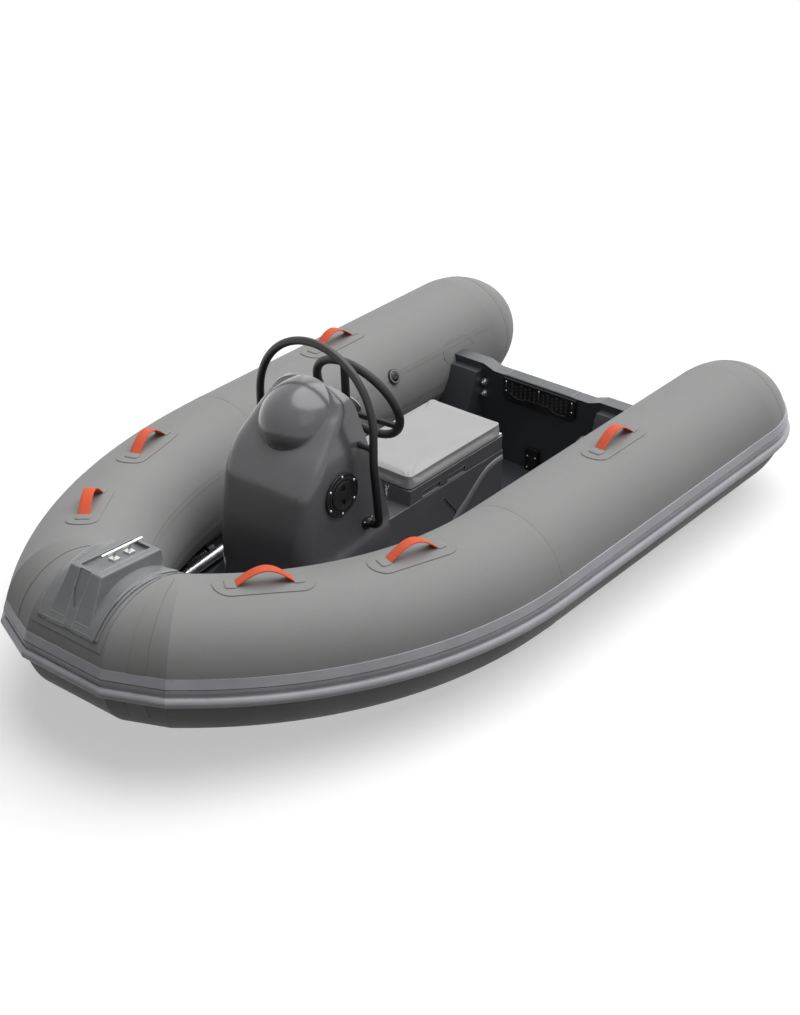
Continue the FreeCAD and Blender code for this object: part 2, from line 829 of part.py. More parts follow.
def bow_cleat():
    """A stainless bar on two posts with square feet, along the moulding's sloping floor."""
    side = step_side_view()
    run = (side[2] - side[1]).normalize()
    up = V(-run.z, 0, run.x)
    middle = (side[1] + side[2]) * 0.5 - run * cleat_back
    floor = middle - V(0, 0, recess_depth) + up * gap
    top = floor + up * cleat_height
    reach = run * (cleat_len / 2)
    pieces = [cylinder(top - reach, top + reach, cleat_rod / 2)]
    for way in (-1, 1):
        foot = floor + run * (way * cleat_pitch / 2)
        pieces.append(cylinder(foot, foot + up * cleat_height, cleat_post / 2))
        corner = foot - run * (cleat_foot / 2) - V(0, cleat_foot / 2, 0)
        far = corner + V(0, cleat_foot, 0)
        plate = [corner, corner + run * cleat_foot, far + run * cleat_foot, far]
        pieces.append(prism(plate, up * cleat_foot_thick))
    return single(pieces[0].fuse(pieces[1:]))


def bow_eye_path():
    """The bow eye's U, square to the stem, from inside the hull's skin and back."""
    length = hull_bow_x - transom_aft_x
    share = 1 - bow_eye_back / length
    step = eye_loop_r / length
    along = V(eye_loop_r, 0, keel_at(share + step) - keel_at(share)).normalize()
    out = V(along.z, 0, -along.x)
    foot = V(hull_bow_x - bow_eye_back, 0, keel_at(share)) - out * (hull_wall * eye_depth_share)
    reach = 2 * (eye_loop_r + hull_wall)
    a = foot - along * eye_loop_r
    b = foot + along * eye_loop_r
    return [a, a + out * reach, b + out * reach, b], out


def bow_eye():
    """The towing eye on the stem, below the bow tube."""
    path, out = bow_eye_path()
    return rod(path, [eye_loop_r * eye_round_share] * 2, eye_rod / 2)


def bow_eye_holes():
    """Clearance holes for the bow eye's two legs."""
    path, out = bow_eye_path()
    return [cylinder(p - out * gap, p + out * overrun, eye_rod / 2 + gap) for p in (path[0], path[-1])]


def dome():
    """The smooth dome moulded into the console's hood."""
    ball = Part.makeSphere(dome_half)
    stretch = FreeCAD.Matrix()
    stretch.scale(V(dome_long / dome_half, 1, dome_high / dome_half))
    shape = ball.transformGeometry(stretch)
    shape.translate(V(dome_x, 0, dome_z))
    return shape


def console_ring(back, front, half, z):
    """One level outline of the console: square at the back, with rounded front corners."""
    r = min(console_corner_r, (front - back) * console_corner_share)
    port = V(front - r, half, z)
    star = V(front - r, -half, z)
    tip = V(front, half - r, z)
    tip_star = V(front, r - half, z)
    centre = V(front - r, half - r, z)
    bow = V(math.sin(math.pi / 4), math.sin(math.pi / 4), 0) * r
    low_centre = V(centre.x, -centre.y, z)
    edges = [Part.makeLine(V(back, -half, z), V(back, half, z)), Part.makeLine(V(back, half, z), port)]
    edges += [Part.Arc(port, centre + bow, tip).toShape(), Part.makeLine(tip, tip_star)]
    edges += [Part.Arc(tip_star, low_centre + V(bow.x, -bow.y, 0), star).toShape()]
    edges += [Part.makeLine(star, V(back, -half, z))]
    return Part.Wire(edges)


def console_form(grow):
    """The console without recess or bore: an upright foot, then level outlines that close at the lip."""
    foot = console_stations[0]
    low = sole_z + gap
    size = (foot[0] - grow, foot[1] + grow, foot[2] + grow)
    upright = Part.Face(console_ring(*size, low)).extrude(V(0, 0, foot[3] - low))
    rings = []
    for back, front, half, z in console_stations:
        rings.append(console_ring(back - grow, front + grow, half + grow, z))
    hood = Part.makeLoft(rings, True, False, False, console_surface_degree)
    return single(upright.fuse(hood))


def console():
    """The console shell: a rounded upright with a domed hood, a recessed dash, a bore for the hatch."""
    lip_x, lip_z = console_lip
    behind = box(lip_x - dome_long, lip_x, -dome_half, dome_half, sole_z, lip_z + dome_high)
    body = console_form(0).fuse(dome().cut(behind))
    lowest = console_recess_low + 2 * console_recess_rim
    upper = [station for station in console_stations if station[3] > lowest]
    rim = [V(0, half - console_recess_rim, z - console_recess_rim) for back, front, half, z in upper]
    outline = [V(0, rim[0].y, console_recess_low)] + rim
    outline += [V(p.x, -p.y, p.z) for p in reversed(outline)]
    pocket = prism(outline, V(console_stations[0][1], 0, 0))
    start = console_recess_back + console_recess_depth * recess_foot_share
    end = lip_x + console_recess_depth
    high = lip_z + overrun
    fore = [V(start, -console_half, console_recess_low), V(end, -console_half, high)]
    aft = [V(0, -console_half, high), V(0, -console_half, console_recess_low)]
    body = body.cut(pocket.common(prism(fore + aft, V(0, 2 * console_half, 0))))
    bore_start = V(hatch_x, console_half - hatch_depth, hatch_z)
    bore = Part.makeCylinder(hatch_bore_r + hatch_fit, hatch_depth + overrun, bore_start, V(0, 1, 0))
    return single(body.cut(bore))


def console_rail():
    """A hoop of black tube: a round top, legs with a knee, feet and standoffs on the console's sides."""
    r = rail_d / 2
    inner = console_half + gap
    foot = V(rail_foot_x, inner, rail_foot_z)
    elbow = V(rail_foot_x, rail_r, rail_foot_z)
    knee = V(rail_x, rail_r, rail_knee_z)
    shoulder = V(rail_x, rail_r, rail_centre_z)
    leg = rod([foot, elbow, knee, shoulder], [rail_bend_r, rail_knee_r], r)
    centre = V(rail_x, 0, rail_centre_z)
    disc = Part.Face(Part.Wire(Part.makeCircle(r, shoulder, V(0, 0, 1))))
    arch = disc.revolve(centre, V(1, 0, 0), 180)
    standoff = cylinder(V(rail_x, 0, standoff_z), V(rail_x, rail_r, standoff_z), standoff_d / 2)
    standoff = max(standoff.cut(console_form(gap)).Solids, key=lambda s: s.CenterOfMass.y)
    half = leg.fuse(standoff)
    return single(arch.fuse([half, mirrored(half, STARBOARD)]))


def hatch_ring():
    """The hatch's flange on the console's port side, with its neck in the bore."""
    face_y = console_half + gap
    start = V(hatch_x, face_y - hatch_depth + gap, hatch_z)
    across = V(0, 1, 0)
    flange = Part.makeCylinder(hatch_r, hatch_flange, V(hatch_x, face_y, hatch_z), across)
    neck = Part.makeCylinder(hatch_bore_r, hatch_depth, start, across)
    hole = Part.makeCylinder(hatch_bore_r - hatch_flange, 2 * hatch_depth, start - across * gap, across)
    return single(flange.fuse(neck).cut(hole))


def hatch_lid():
    """The round screw-in lid with two finger wells."""
    thick = hatch_lid_thick + hatch_lid_proud
    low = console_half + gap + hatch_flange - hatch_lid_thick
    r = hatch_bore_r - hatch_flange - hatch_fit
    lid = Part.makeCylinder(r, thick, V(hatch_x, low, hatch_z), V(0, 1, 0))
    start = low + thick - finger_deep
    left = hatch_x - finger_half
    right = hatch_x + finger_half
    for z in (hatch_z - r / 2, hatch_z + r / 2):
        lid = lid.cut(box(left, right, start, low + 2 * thick, z - finger_half, z + finger_half))
    return lid


def wheel_frame():
    """The wheel's centre, its axis aft and up, and its own upward direction."""
    a = math.radians(wheel_rake)
    return V(wheel_x, 0, wheel_z), V(-math.cos(a), 0, math.sin(a)), V(math.sin(a), 0, math.cos(a))


def steering_wheel():
    """A thick rim on three dished spokes and a hub."""
    centre, axis, up = wheel_frame()
    rim = Part.makeTorus(wheel_r, rim_r, centre, axis)
    hub_back = centre - axis * (wheel_dish + hub_len / 2)
    hub = Part.makeCylinder(hub_r, hub_len, hub_back, axis)
    spokes = []
    side = axis.cross(up)
    for k in range(spoke_count):
        a = math.radians(90 + 360 * k / spoke_count)
        out = side * math.cos(a) + up * math.sin(a)
        across = axis.cross(out)
        inner = centre - axis * wheel_dish + out * (hub_r * spoke_root_share)
        outer = centre + out * wheel_r
        run = (outer - inner).normalize()
        thick = run.cross(across).normalize() * spoke_thick
        start = inner - across * (spoke_width / 2) - thick * 0.5
        far = start + across * spoke_width
        corner = [start, far, far + thick, start + thick]
        spokes.append(prism(corner, outer - inner))
    bore_end = hub_back + axis * (spindle_len + helm_gap)
    bore = cylinder(hub_back - axis * helm_gap, bore_end, spindle_r + spindle_fit)
    return single(rim.fuse([hub] + spokes).cut(bore))


def helm():
    """The helm housing between the console's dash and the wheel's hub, with the wheel's spindle."""
    centre, axis, up = wheel_frame()
    start = centre - axis * (wheel_dish + hub_len / 2 + helm_gap)
    body = single(cylinder(start, start - axis * (2 * wheel_r), helm_r).cut(console_form(gap)))
    tip = centre - axis * (wheel_dish + hub_len / 2 - spindle_len)
    return single(body.fuse(cylinder(start - axis * helm_r, tip, spindle_r)))


def seat_box():
    """The seat plinth: a hollow locker aft, a top that runs forward to the console, creased sides."""
    low = sole_z + gap
    front = console_stations[0][0] - gap
    body = box(seat_aft_x, front, -seat_half, seat_half, low, plinth_top_z).cut(console_form(gap))
    high = plinth_top_z + overrun
    locker = box(locker_aft_x, locker_front_x, -locker_half, locker_half, locker_floor_z, high)
    body = body.cut(locker)
    long_side = front - seat_aft_x
    side_high = plinth_top_z - low
    crease = [V(seat_aft_x + long_side * x, seat_half, low + side_high * z) for x, z in crease_shares]
    groove = prism(crease, V(0, -crease_depth, 0))
    return single(body.cut([groove, mirrored(groove, STARBOARD)]))


def seat_lid():
    """A moulded lid with rounded corners and two finger recesses in each long side."""
    low = plinth_top_z + lid_gap
    body = box(seat_aft_x, seat_front_x, -seat_half, seat_half, low, low + lid_height)
    body = fillet_at(body, lid_rim, lambda e: runs_along(e, V(0, 0, 1)))
    z = low + lid_rim
    inner = seat_half - lid_recess_depth
    for x in lid_recess_xs:
        port = box(x - lid_recess_len, x, inner, seat_half + overrun, z, z + lid_recess_high)
        body = body.cut([port, mirrored(port, STARBOARD)])
    return body


def seat_cushion():
    """The cushion: a plain rounded pad on the lid."""
    low = plinth_top_z + lid_gap + lid_height + gap
    c = cushion_inset
    body = box(seat_aft_x + c, seat_front_x - c, -seat_half + c, seat_half - c, low, low + cushion_height)
    return fillet_at(body, cushion_corner_r, lambda e: runs_along(e, V(0, 0, 1)))


def seat_hinge_axis():
    """The hinge line behind the seat box."""
    return V(seat_aft_x - hinge_knuckle_r - gap, 0, plinth_top_z + lid_gap / 2)


def seat_hinge():
    """The hinge's fixed leaf and knuckle on the back of the seat box."""
    axis = seat_hinge_axis()
    back = seat_aft_x - gap
    half = hinge_width / 2
    knuckle = Part.makeCylinder(hinge_knuckle_r, hinge_width, V(axis.x, -half, axis.z), V(0, 1, 0))
    top = axis.z - hinge_knuckle_r / 2
    leaf = box(back - hinge_leaf, back, -half, half, axis.z - hinge_leaf_high, top)
    return single(knuckle.fuse(leaf))


def seat_latch():
    """A small toggle latch on the front of the seat lid."""
    x = seat_front_x + gap
    low = plinth_top_z + lid_gap + lid_rim
    return box(x, x + latch_thick, -latch_width / 2, latch_width / 2, low, low + latch_high - lid_rim)


def oar():
    """A stowed oar: an alloy loom with a black cap forward, and a blade on edge aft."""
    low = ledge_z + gap
    tube = path_at(oar_fore_x)[0]
    z = low + oar_cap_d / 2
    inner = tube.y - math.sqrt(tube_r ** 2 - (tube.z - z) ** 2)
    fore = V(oar_fore_x, inner - oar_fore_clear - oar_cap_d / 2, z)
    aft = V(oar_aft_x, tube_axis_y - tube_r - oar_aft_clear, low + blade_half)
    run = (fore - aft).normalize()
    up = (V(0, 0, 1) - run * run.z).normalize()
    across = run.cross(up) * blade_thick
    loom = cylinder(aft, fore, oar_d / 2)
    cap = cylinder(fore - run * oar_cap_len, fore, oar_cap_d / 2)
    neck = oar_d / 2 - blade_corner / 2
    half = [(blade_root, neck), (blade_root - blade_shoulder, blade_half)]
    half += [(blade_corner - blade_len, blade_half), (-blade_len, blade_half - blade_corner)]
    upper = [aft + run * s + up * h - across * 0.5 for s, h in half]
    lower = [aft + run * s - up * h - across * 0.5 for s, h in reversed(half)]
    return single(loom.fuse([cap, prism(upper + lower, across)]))


def build():
    """Makes every piece and writes it."""
    os.makedirs("parts", exist_ok=True)
    tubes = clear_tubes()
    inner = hull_form(hull_wall, overrun)
    save("hull", hull(tubes, inner))
    save("deck", deck(tubes))
    save("transom", single(transom(tubes).cut(eye_holes())))
    save("motor_pad_inner", clamp_pad(transom_aft_x + transom_thick + gap, pad_height, pad_thick))
    save("motor_pad_outer", clamp_pad(transom_aft_x - gap - pad_thick, outer_pad_height, pad_thick))
    save("drain_cover", drain_cover())
    port_arm = arm(tube_r)
    port_cone = cone(0)
    port_strake = strake_arm()
    eye = stern_eye()
    stowed = oar()
    for name, side in SIDES.items():
        save("tube_" + name, mirrored(port_arm, side))
        save("end_cone_" + name, mirrored(port_cone, side))
        save("rub_strake_" + name, mirrored(port_strake, side))
        save("stern_eye_" + name, mirrored(eye, side))
        save("oar_" + name, mirrored(stowed, side))
    save("tube_bow", nose(tube_r))
    save("rub_strake_bow", strake_nose())
    places = handle_places()
    for place, x in places.items():
        strap = handle(x)
        for name, side in SIDES.items():
            save("handle_" + place + "_" + name, mirrored(strap, side))
    patches = [handle_patch(x) for x in places.values()]
    for name, side in SIDES.items():
        save("handle_patches_" + name, Part.makeCompound([mirrored(p, side) for p in patches]))
    save("valves", valves())
    save("bow_patch", bow_patch())
    save("bow_step", bow_step())
    save("bow_cleat", bow_cleat())
    save("bow_eye", bow_eye())
    save("console", console())
    save("console_rail", console_rail())
    save("hatch_ring", hatch_ring())
    save("hatch_lid", hatch_lid())
    save("helm", helm())
    save("steering_wheel", steering_wheel())
    save("seat_box", seat_box())
    save("seat_lid", seat_lid())
    save("seat_cushion", seat_cushion())
    save("seat_hinge", seat_hinge())
    save("seat_latch", seat_latch())


build()
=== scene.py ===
"""Looks of the small inflatable tender: materials, soft pieces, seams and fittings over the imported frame."""
import json
from math import atan, atan2, cos, degrees, exp, hypot, pi, radians, sin

import bmesh
import bpy
from mathutils import Matrix, Vector
from mathutils.bvhtree import BVHTree


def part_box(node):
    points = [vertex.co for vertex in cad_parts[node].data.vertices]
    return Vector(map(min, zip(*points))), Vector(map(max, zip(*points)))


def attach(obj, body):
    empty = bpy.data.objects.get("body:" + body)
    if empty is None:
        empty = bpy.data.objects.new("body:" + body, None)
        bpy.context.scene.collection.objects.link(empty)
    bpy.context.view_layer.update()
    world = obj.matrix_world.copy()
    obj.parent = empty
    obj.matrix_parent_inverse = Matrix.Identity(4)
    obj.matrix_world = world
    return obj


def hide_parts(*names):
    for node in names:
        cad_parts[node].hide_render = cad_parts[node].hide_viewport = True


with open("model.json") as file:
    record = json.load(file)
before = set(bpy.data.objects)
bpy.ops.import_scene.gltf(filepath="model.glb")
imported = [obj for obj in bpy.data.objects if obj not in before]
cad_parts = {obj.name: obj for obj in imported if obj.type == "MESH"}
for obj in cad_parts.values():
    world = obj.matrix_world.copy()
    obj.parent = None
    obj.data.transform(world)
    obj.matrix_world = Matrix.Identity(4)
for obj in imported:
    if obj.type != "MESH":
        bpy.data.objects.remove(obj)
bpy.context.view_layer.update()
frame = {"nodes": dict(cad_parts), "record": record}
nodes = frame["nodes"]
slots = {part["node"]: part["material_slot"] for part in frame["record"]["subparts"]}
scene = bpy.context.scene


def V(x, y, z):
    return Vector((x, y, z))


AHEAD, ASTERN, ACROSS, UP = V(1, 0, 0), V(-1, 0, 0), V(0, 1, 0), V(0, 0, 1)
HANDS = (("port", 1), ("starboard", -1))


def colour(*screen):
    """A colour that is given as it looks on a screen."""
    return tuple(v / 12.92 if v <= 0.04045 else ((v + 0.055) / 1.055) ** 2.4 for v in screen) + (1,)


def scaled(tone, factor):
    return tuple(min(1, c * factor) for c in tone[:3]) + (1,)


class Graph:
    """A node tree that is built one line at a time."""

    def __init__(self, name):
        self.mat = bpy.data.materials.new(name)
        self.mat.use_nodes = True
        self.tree = self.mat.node_tree
        self.shader = self.tree.nodes["Principled BSDF"]
        self.place = self.add("ShaderNodeTexCoord").outputs["Object"]

    def put(self, socket, value):
        """Links an output to a socket, or sets a constant on it."""
        if isinstance(value, bpy.types.NodeSocket):
            self.tree.links.new(value, socket)
        else:
            socket.default_value = value

    def add(self, kind, sockets=None, **values):
        node = self.tree.nodes.new(kind)
        for key, value in values.items():
            setattr(node, key, value)
        for key, value in (sockets or {}).items():
            self.put(node.inputs[key], value)
        return node

    def stretched(self, x, y, z):
        return self.add("ShaderNodeMapping", {"Scale": (x, y, z), "Vector": self.place}).outputs["Vector"]

    def noise(self, scale, detail=3, rough=0.5, vector=None):
        sockets = {"Scale": scale, "Detail": detail, "Roughness": rough, "Vector": vector or self.place}
        return self.add("ShaderNodeTexNoise", sockets).outputs["Fac"]

    def cells(self, scale):
        return self.add("ShaderNodeTexVoronoi", {"Scale": scale, "Vector": self.place}).outputs["Distance"]

    def waves(self, scale, direction):
        sockets = {"Scale": scale, "Vector": self.place}
        return self.add("ShaderNodeTexWave", sockets, bands_direction=direction).outputs["Fac"]

    def math(self, operation, a, b):
        return self.add("ShaderNodeMath", {0: a, 1: b}, operation=operation).outputs[0]

    def spread(self, source, low, high, start=0.3, end=0.7):
        """Takes start to end over to low to high."""
        sockets = {"From Min": start, "From Max": end, "To Min": low, "To Max": high, "Value": source}
        return self.add("ShaderNodeMapRange", sockets).outputs["Result"]

    def over(self, share, below, above):
        sockets = {"Factor": share, "A": below, "B": above}
        return self.add("ShaderNodeMix", sockets, data_type="RGBA").outputs["Result"]

    def tones(self, source, dark, light, start=0.3, end=0.7):
        return self.over(self.spread(source, 0, 1, start, end), dark, light)

    def stain(self, base, source, tone, amount, start, end):
        """Lets another tone through where the source is high."""
        return self.over(self.spread(source, 0, amount, start, end), base, tone)

    def bump(self, height, strength, distance, below=None):
        node = self.add("ShaderNodeBump", {"Strength": strength, "Distance": distance, "Height": height})
        if below is not None:
            self.put(node.inputs["Normal"], below)
        return node.outputs["Normal"]

    def soft_edges(self, radius):
        """The normal of slightly rounded edges."""
        return self.add("ShaderNodeBevel", {"Radius": radius}, samples=4).outputs["Normal"]

    def edge_wear(self, radius):
        """Nought on a flat face, and more where the surface turns sharply."""
        flat = self.add("ShaderNodeNewGeometry").outputs["Normal"]
        dot = self.add("ShaderNodeVectorMath", {0: self.soft_edges(radius), 1: flat}, operation="DOT_PRODUCT")
        return self.math("SUBTRACT", 1, dot.outputs["Value"])

    def finish(self, base, rough, normal, **constants):
        for key, value in (("Base Color", base), ("Roughness", rough), ("Normal", normal)):
            self.put(self.shader.inputs[key], value)
        for key, value in constants.items():
            self.shader.inputs[key.replace("_", " ")].default_value = value
        return self.mat


def coated_fabric(name, tone, below=0):
    """Fabric with a rubbery coat: a fine weave shows through, with faint clouds of sheen.

    Its underside is darker by the share below: painted shade where the surface faces down.
    """
    g = Graph(name)
    weave = g.math("MULTIPLY", g.waves(420, "X"), g.waves(420, "Z"))
    weave = g.math("MULTIPLY", weave, g.waves(420, "Y"))
    clouds = g.noise(3.2, 4, 0.55)
    base = g.tones(clouds, scaled(tone, 0.93), scaled(tone, 1.05))
    base = g.stain(base, g.noise(160, 2, 0.6), scaled(tone, 1.35), 0.1, 0.45, 0.75)
    # Painted shade: the colour darkens where the surface faces down, towards the underside.
    if below:
        facing = g.add("ShaderNodeSeparateXYZ", {0: g.add("ShaderNodeNewGeometry").outputs["Normal"]})
        base = g.over(g.spread(facing.outputs["Z"], below, 0, -0.24, -0.02), base, scaled(tone, 0.35))
    soft = g.bump(g.noise(5.5, 2, 0.4), 0.25, 0.006)
    grain = g.math("MULTIPLY", g.noise(900, 2), 0.7)
    normal = g.bump(g.math("ADD", weave, grain), 0.16, 0.0006, soft)
    sheen = {"Sheen_Weight": 0.12, "Sheen_Roughness": 0.5, "Specular_IOR_Level": 0.42}
    return g.finish(base, g.spread(clouds, 0.57, 0.69), normal, **sheen)


def gelcoat(name, tone, rough, coat, peel=0.12):
    """Moulded gelcoat: orange peel under a clear gloss, tiny dust and hairlines."""
    g = Graph(name)
    base = g.tones(g.noise(4, 4, 0.5), scaled(tone, 0.92), scaled(tone, 1.07))
    base = g.stain(base, g.noise(260, 3, 0.7), scaled(tone, 2.2), 0.06, 0.55, 0.8)
    wear = g.math("MULTIPLY", g.edge_wear(0.003), g.noise(30, 3))
    base = g.stain(base, wear, scaled(tone, 2), 0.35, 0.02, 0.2)
    hair = g.spread(g.noise(22, 3, 0.6), rough - 0.015, rough + 0.03)
    normal = g.bump(g.noise(95, 2, 0.4), peel, 0.0012, g.soft_edges(0.003))
    return g.finish(base, hair, normal, Coat_Weight=coat, Coat_Roughness=0.16, Coat_IOR=1.5)


def moulded_plastic(name, tone, rough, grain=420, depth=0.0008, coat=0):
    """Plastic with a moulded leather-like grain."""
    g = Graph(name)
    clouds = g.noise(9, 3)
    base = g.tones(clouds, scaled(tone, 0.88), scaled(tone, 1.12))
    wear = g.math("MULTIPLY", g.edge_wear(0.002), g.noise(60, 3))
    base = g.stain(base, wear, scaled(tone, 2.4), 0.4, 0.02, 0.2)
    pits = g.math("ADD", g.cells(grain), g.math("MULTIPLY", g.noise(grain * 1.7, 2), 0.5))
    normal = g.bump(pits, 0.3, depth, g.soft_edges(0.0022))
    gloss = g.spread(clouds, rough - 0.06, rough + 0.08)
    return g.finish(base, gloss, normal, Coat_Weight=coat, Coat_Roughness=0.2)


def rubber(name, tone, rough):
    """Extruded rubber or PVC: faint draw lines and scuffs."""
    g = Graph(name)
    base = g.tones(g.noise(7, 4, 0.6), scaled(tone, 0.9), scaled(tone, 1.08))
    scuff = g.noise(45, 4, 0.75)
    base = g.stain(base, scuff, scaled(tone, 0.55), 0.22, 0.58, 0.78)
    lines = g.noise(240, 2, 0.5, g.stretched(0.05, 0.05, 1))
    normal = g.bump(g.math("ADD", lines, g.noise(600, 2)), 0.18, 0.0007)
    return g.finish(base, g.spread(scuff, rough - 0.07, rough + 0.1), normal, Specular_IOR_Level=0.45)


def metal(name, tone, rough, brushed=0):
    """Polished metal with fine marks, or a brushed one."""
    g = Graph(name)
    lines = g.noise(190, 3, 0.6, g.stretched(1, 0.08, 1))
    marks = g.noise(70, 4, 0.7)
    base = g.tones(marks, scaled(tone, 0.86), tone)
    normal = g.bump(lines, 0.06 + brushed, 0.0004)
    return g.finish(base, g.spread(marks, rough * 0.7, rough * 1.5), normal, Metallic=1)


def webbing_cloth(name, tone):
    """Woven strap: a fine rib across, with a herringbone of yarns."""
    g = Graph(name)
    across = g.math("MULTIPLY", g.waves(620, "X"), g.waves(620, "Y"))
    weave = g.math("ADD", across, g.math("MULTIPLY", g.waves(620, "Z"), 0.6))
    base = g.tones(weave, scaled(tone, 0.86), scaled(tone, 1.1), 0.2, 1.2)
    fuzz = g.noise(900, 3, 0.7)
    base = g.stain(base, fuzz, scaled(tone, 1.15), 0.25, 0.5, 0.8)
    normal = g.bump(g.math("ADD", weave, fuzz), 0.5, 0.0009)
    return g.finish(base, g.spread(fuzz, 0.62, 0.85), normal, Sheen_Weight=0.08, Sheen_Roughness=0.4)


def vinyl(name, tone):
    """Smooth upholstery vinyl with a small leather grain and soft creases."""
    g = Graph(name)
    base = g.tones(g.noise(6, 4, 0.5), scaled(tone, 0.95), scaled(tone, 1.03))
    creases = g.noise(16, 4, 0.65)
    grain = g.math("ADD", g.cells(620), g.math("MULTIPLY", creases, 0.4))
    normal = g.bump(grain, 0.22, 0.0005, g.bump(g.noise(11, 2, 0.4), 0.12, 0.004))
    return g.finish(base, g.spread(creases, 0.4, 0.54), normal, Specular_IOR_Level=0.45)


# For each finish: what makes it, its colour on a screen, and its own values
finishes = {
    "hull_gelcoat": (gelcoat, (0.335, 0.335, 0.345), 0.24, 0.4),
    "deck_gelcoat": (gelcoat, (0.275, 0.285, 0.305), 0.34, 0.25, 0.1),
    "console_gelcoat": (gelcoat, (0.405, 0.405, 0.42), 0.24, 0.6),
    # The tube fabric's last value darkens its underside: painted shade.
    "tube_fabric": (coated_fabric, (0.57, 0.57, 0.568), 0.75),
    "patch_fabric": (coated_fabric, (0.565, 0.565, 0.56)),
    "strake_rubber": (rubber, (0.72, 0.715, 0.745), 0.34),
    "webbing": (webbing_cloth, (1, 0.41, 0.25)),
    "step_plastic": (moulded_plastic, (0.49, 0.5, 0.505), 0.4, 500, 0.0005, 0.25),
    "black_plastic": (moulded_plastic, (0.05, 0.05, 0.053), 0.44),
    "black_tube": (moulded_plastic, (0.06, 0.06, 0.063), 0.38, 700, 0.0004, 0.15),
    "wheel_rubber": (moulded_plastic, (0.075, 0.075, 0.078), 0.52, 560, 0.0006),
    "cushion_vinyl": (vinyl, (0.69, 0.69, 0.69)),
    "stainless": (metal, (0.9, 0.9, 0.89), 0.24),
    "oar_alloy": (metal, (0.8, 0.8, 0.81), 0.3, 0.1),
    "seam_glue": (rubber, (0.36, 0.36, 0.355), 0.5),
    # These two finishes are lighter than the mouldings they edge: painted highlights along edges.
    "moulded_edge": (moulded_plastic, (0.62, 0.63, 0.63), 0.36, 500, 0.0003, 0.3),
    "gel_edge": (gelcoat, (0.5, 0.5, 0.515), 0.24, 0.5, 0.05),
    "grip_marks": (rubber, (0.42, 0.42, 0.42), 0.4),
}
materials = {name: make(name, colour(*tone), *rest) for name, (make, tone, *rest) in finishes.items()}
for name, thing in nodes.items():
    thing.data.materials.clear()
    thing.data.materials.append(materials[slots[name]])


# Mesh helpers. Sizes here and below are in metres, but for turned profiles, screws and nuts in mm.
def placed(name, data):
    obj = bpy.data.objects.new(name, data)
    scene.collection.objects.link(obj)
    return obj


def make_piece(name, bm, slot, sharp=40, body="boat"):
    """Turns a bmesh into a shaded object that rides on a body."""
    bmesh.ops.recalc_face_normals(bm, faces=bm.faces)
    mesh = bpy.data.meshes.new(name)
    bm.to_mesh(mesh)
    bm.free()
    mesh.polygons.foreach_set("use_smooth", [True] * len(mesh.polygons))
    mesh.set_sharp_from_angle(angle=radians(sharp))
    mesh.materials.append(materials[slot])
    obj = placed(name, mesh)
    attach(obj, body)
    return obj


def skin(bm, rings, wrap=True, caps=True):
    """Joins rings of points with faces, and closes the first and last ring."""
    rows = [[bm.verts.new(p) for p in ring] for ring in rings]
    count = len(rows[0])
    for a, b in zip(rows, rows[1:]):
        for k in range(count if wrap else count - 1):
            j = (k + 1) % count
            bm.faces.new((a[k], a[j], b[j], b[k]))
    if caps and wrap:
        bm.faces.new(rows[0])
        bm.faces.new(reversed(rows[-1]))


def turns(count, first=0):
    """Even angles round a circle."""
    return [2 * pi * (k + first) / count for k in range(count)]


def lathe(bm, profile, at, axis, count=20):
    """Turns (radius, height) points in mm about an axis through a place."""
    at = Vector(at)
    turn = Vector(axis).to_track_quat("Z", "Y")
    rows = []
    for r, h in ((r / 1000, h / 1000) for r, h in profile):
        places = [V(r * cos(a), r * sin(a), h) for a in turns(count)] if r else [V(0, 0, h)]
        rows.append([bm.verts.new(at + turn @ p) for p in places])
    for a, b in zip(rows, rows[1:]):
        for k in range(count):
            j = (k + 1) % count
            corners = [a[k % len(a)], a[j % len(a)], b[j % len(b)], b[k % len(b)]]
            corners = [v for i, v in enumerate(corners) if v not in corners[:i]]
            if len(corners) > 2:
                bm.faces.new(corners)


def screw(bm, at, axis, r):
    """A pan head with a socket."""
    h = r * 0.6
    head = [(0, h * 0.3), (r * 0.32, h * 0.3), (r * 0.36, h * 0.95), (r * 0.62, h), (r * 0.9, h * 0.7)]
    lathe(bm, head + [(r, h * 0.2), (r, -h)], at, axis, 12)


def screws(name, spots, axis, r):
    """A piece made of screws, one at each place."""
    bm = bmesh.new()
    for spot in spots:
        screw(bm, spot, axis, r)
    make_piece(name, bm, "stainless")


def hex_nut(bm, at, axis, r, high):
    """A chamfered nut with the end of its stud."""
    nut = [(0, 0), (r, 0), (r, high * 0.85), (r * 0.86, high), (r * 0.55, high), (0, high)]
    lathe(bm, nut, at, axis, 6)
    stud = [(r * 0.5, 0), (r * 0.5, high * 1.5), (r * 0.36, high * 1.75), (0, high * 1.75)]
    lathe(bm, stud, at, axis, 14)


def block(bm, at, half, turn=None, bevel=0):
    """A small box, given by its middle and half sizes, with chamfered edges."""
    verts = []
    for corner in ((x, y, z) for x in (-1, 1) for y in (-1, 1) for z in (-1, 1)):
        p = Vector([c * h for c, h in zip(corner, half)])
        verts.append(bm.verts.new(Vector(at) + (turn @ p if turn else p)))
    faces = [(0, 1, 3, 2), (4, 6, 7, 5), (0, 4, 5, 1), (2, 3, 7, 6), (0, 2, 6, 4), (1, 5, 7, 3)]
    made = [bm.faces.new([verts[i] for i in f]) for f in faces]
    if bevel:
        edges = {e for f in made for e in f.edges}
        bmesh.ops.bevel(bm, geom=list(edges), offset=bevel, segments=2, affect="EDGES", profile=0.6)


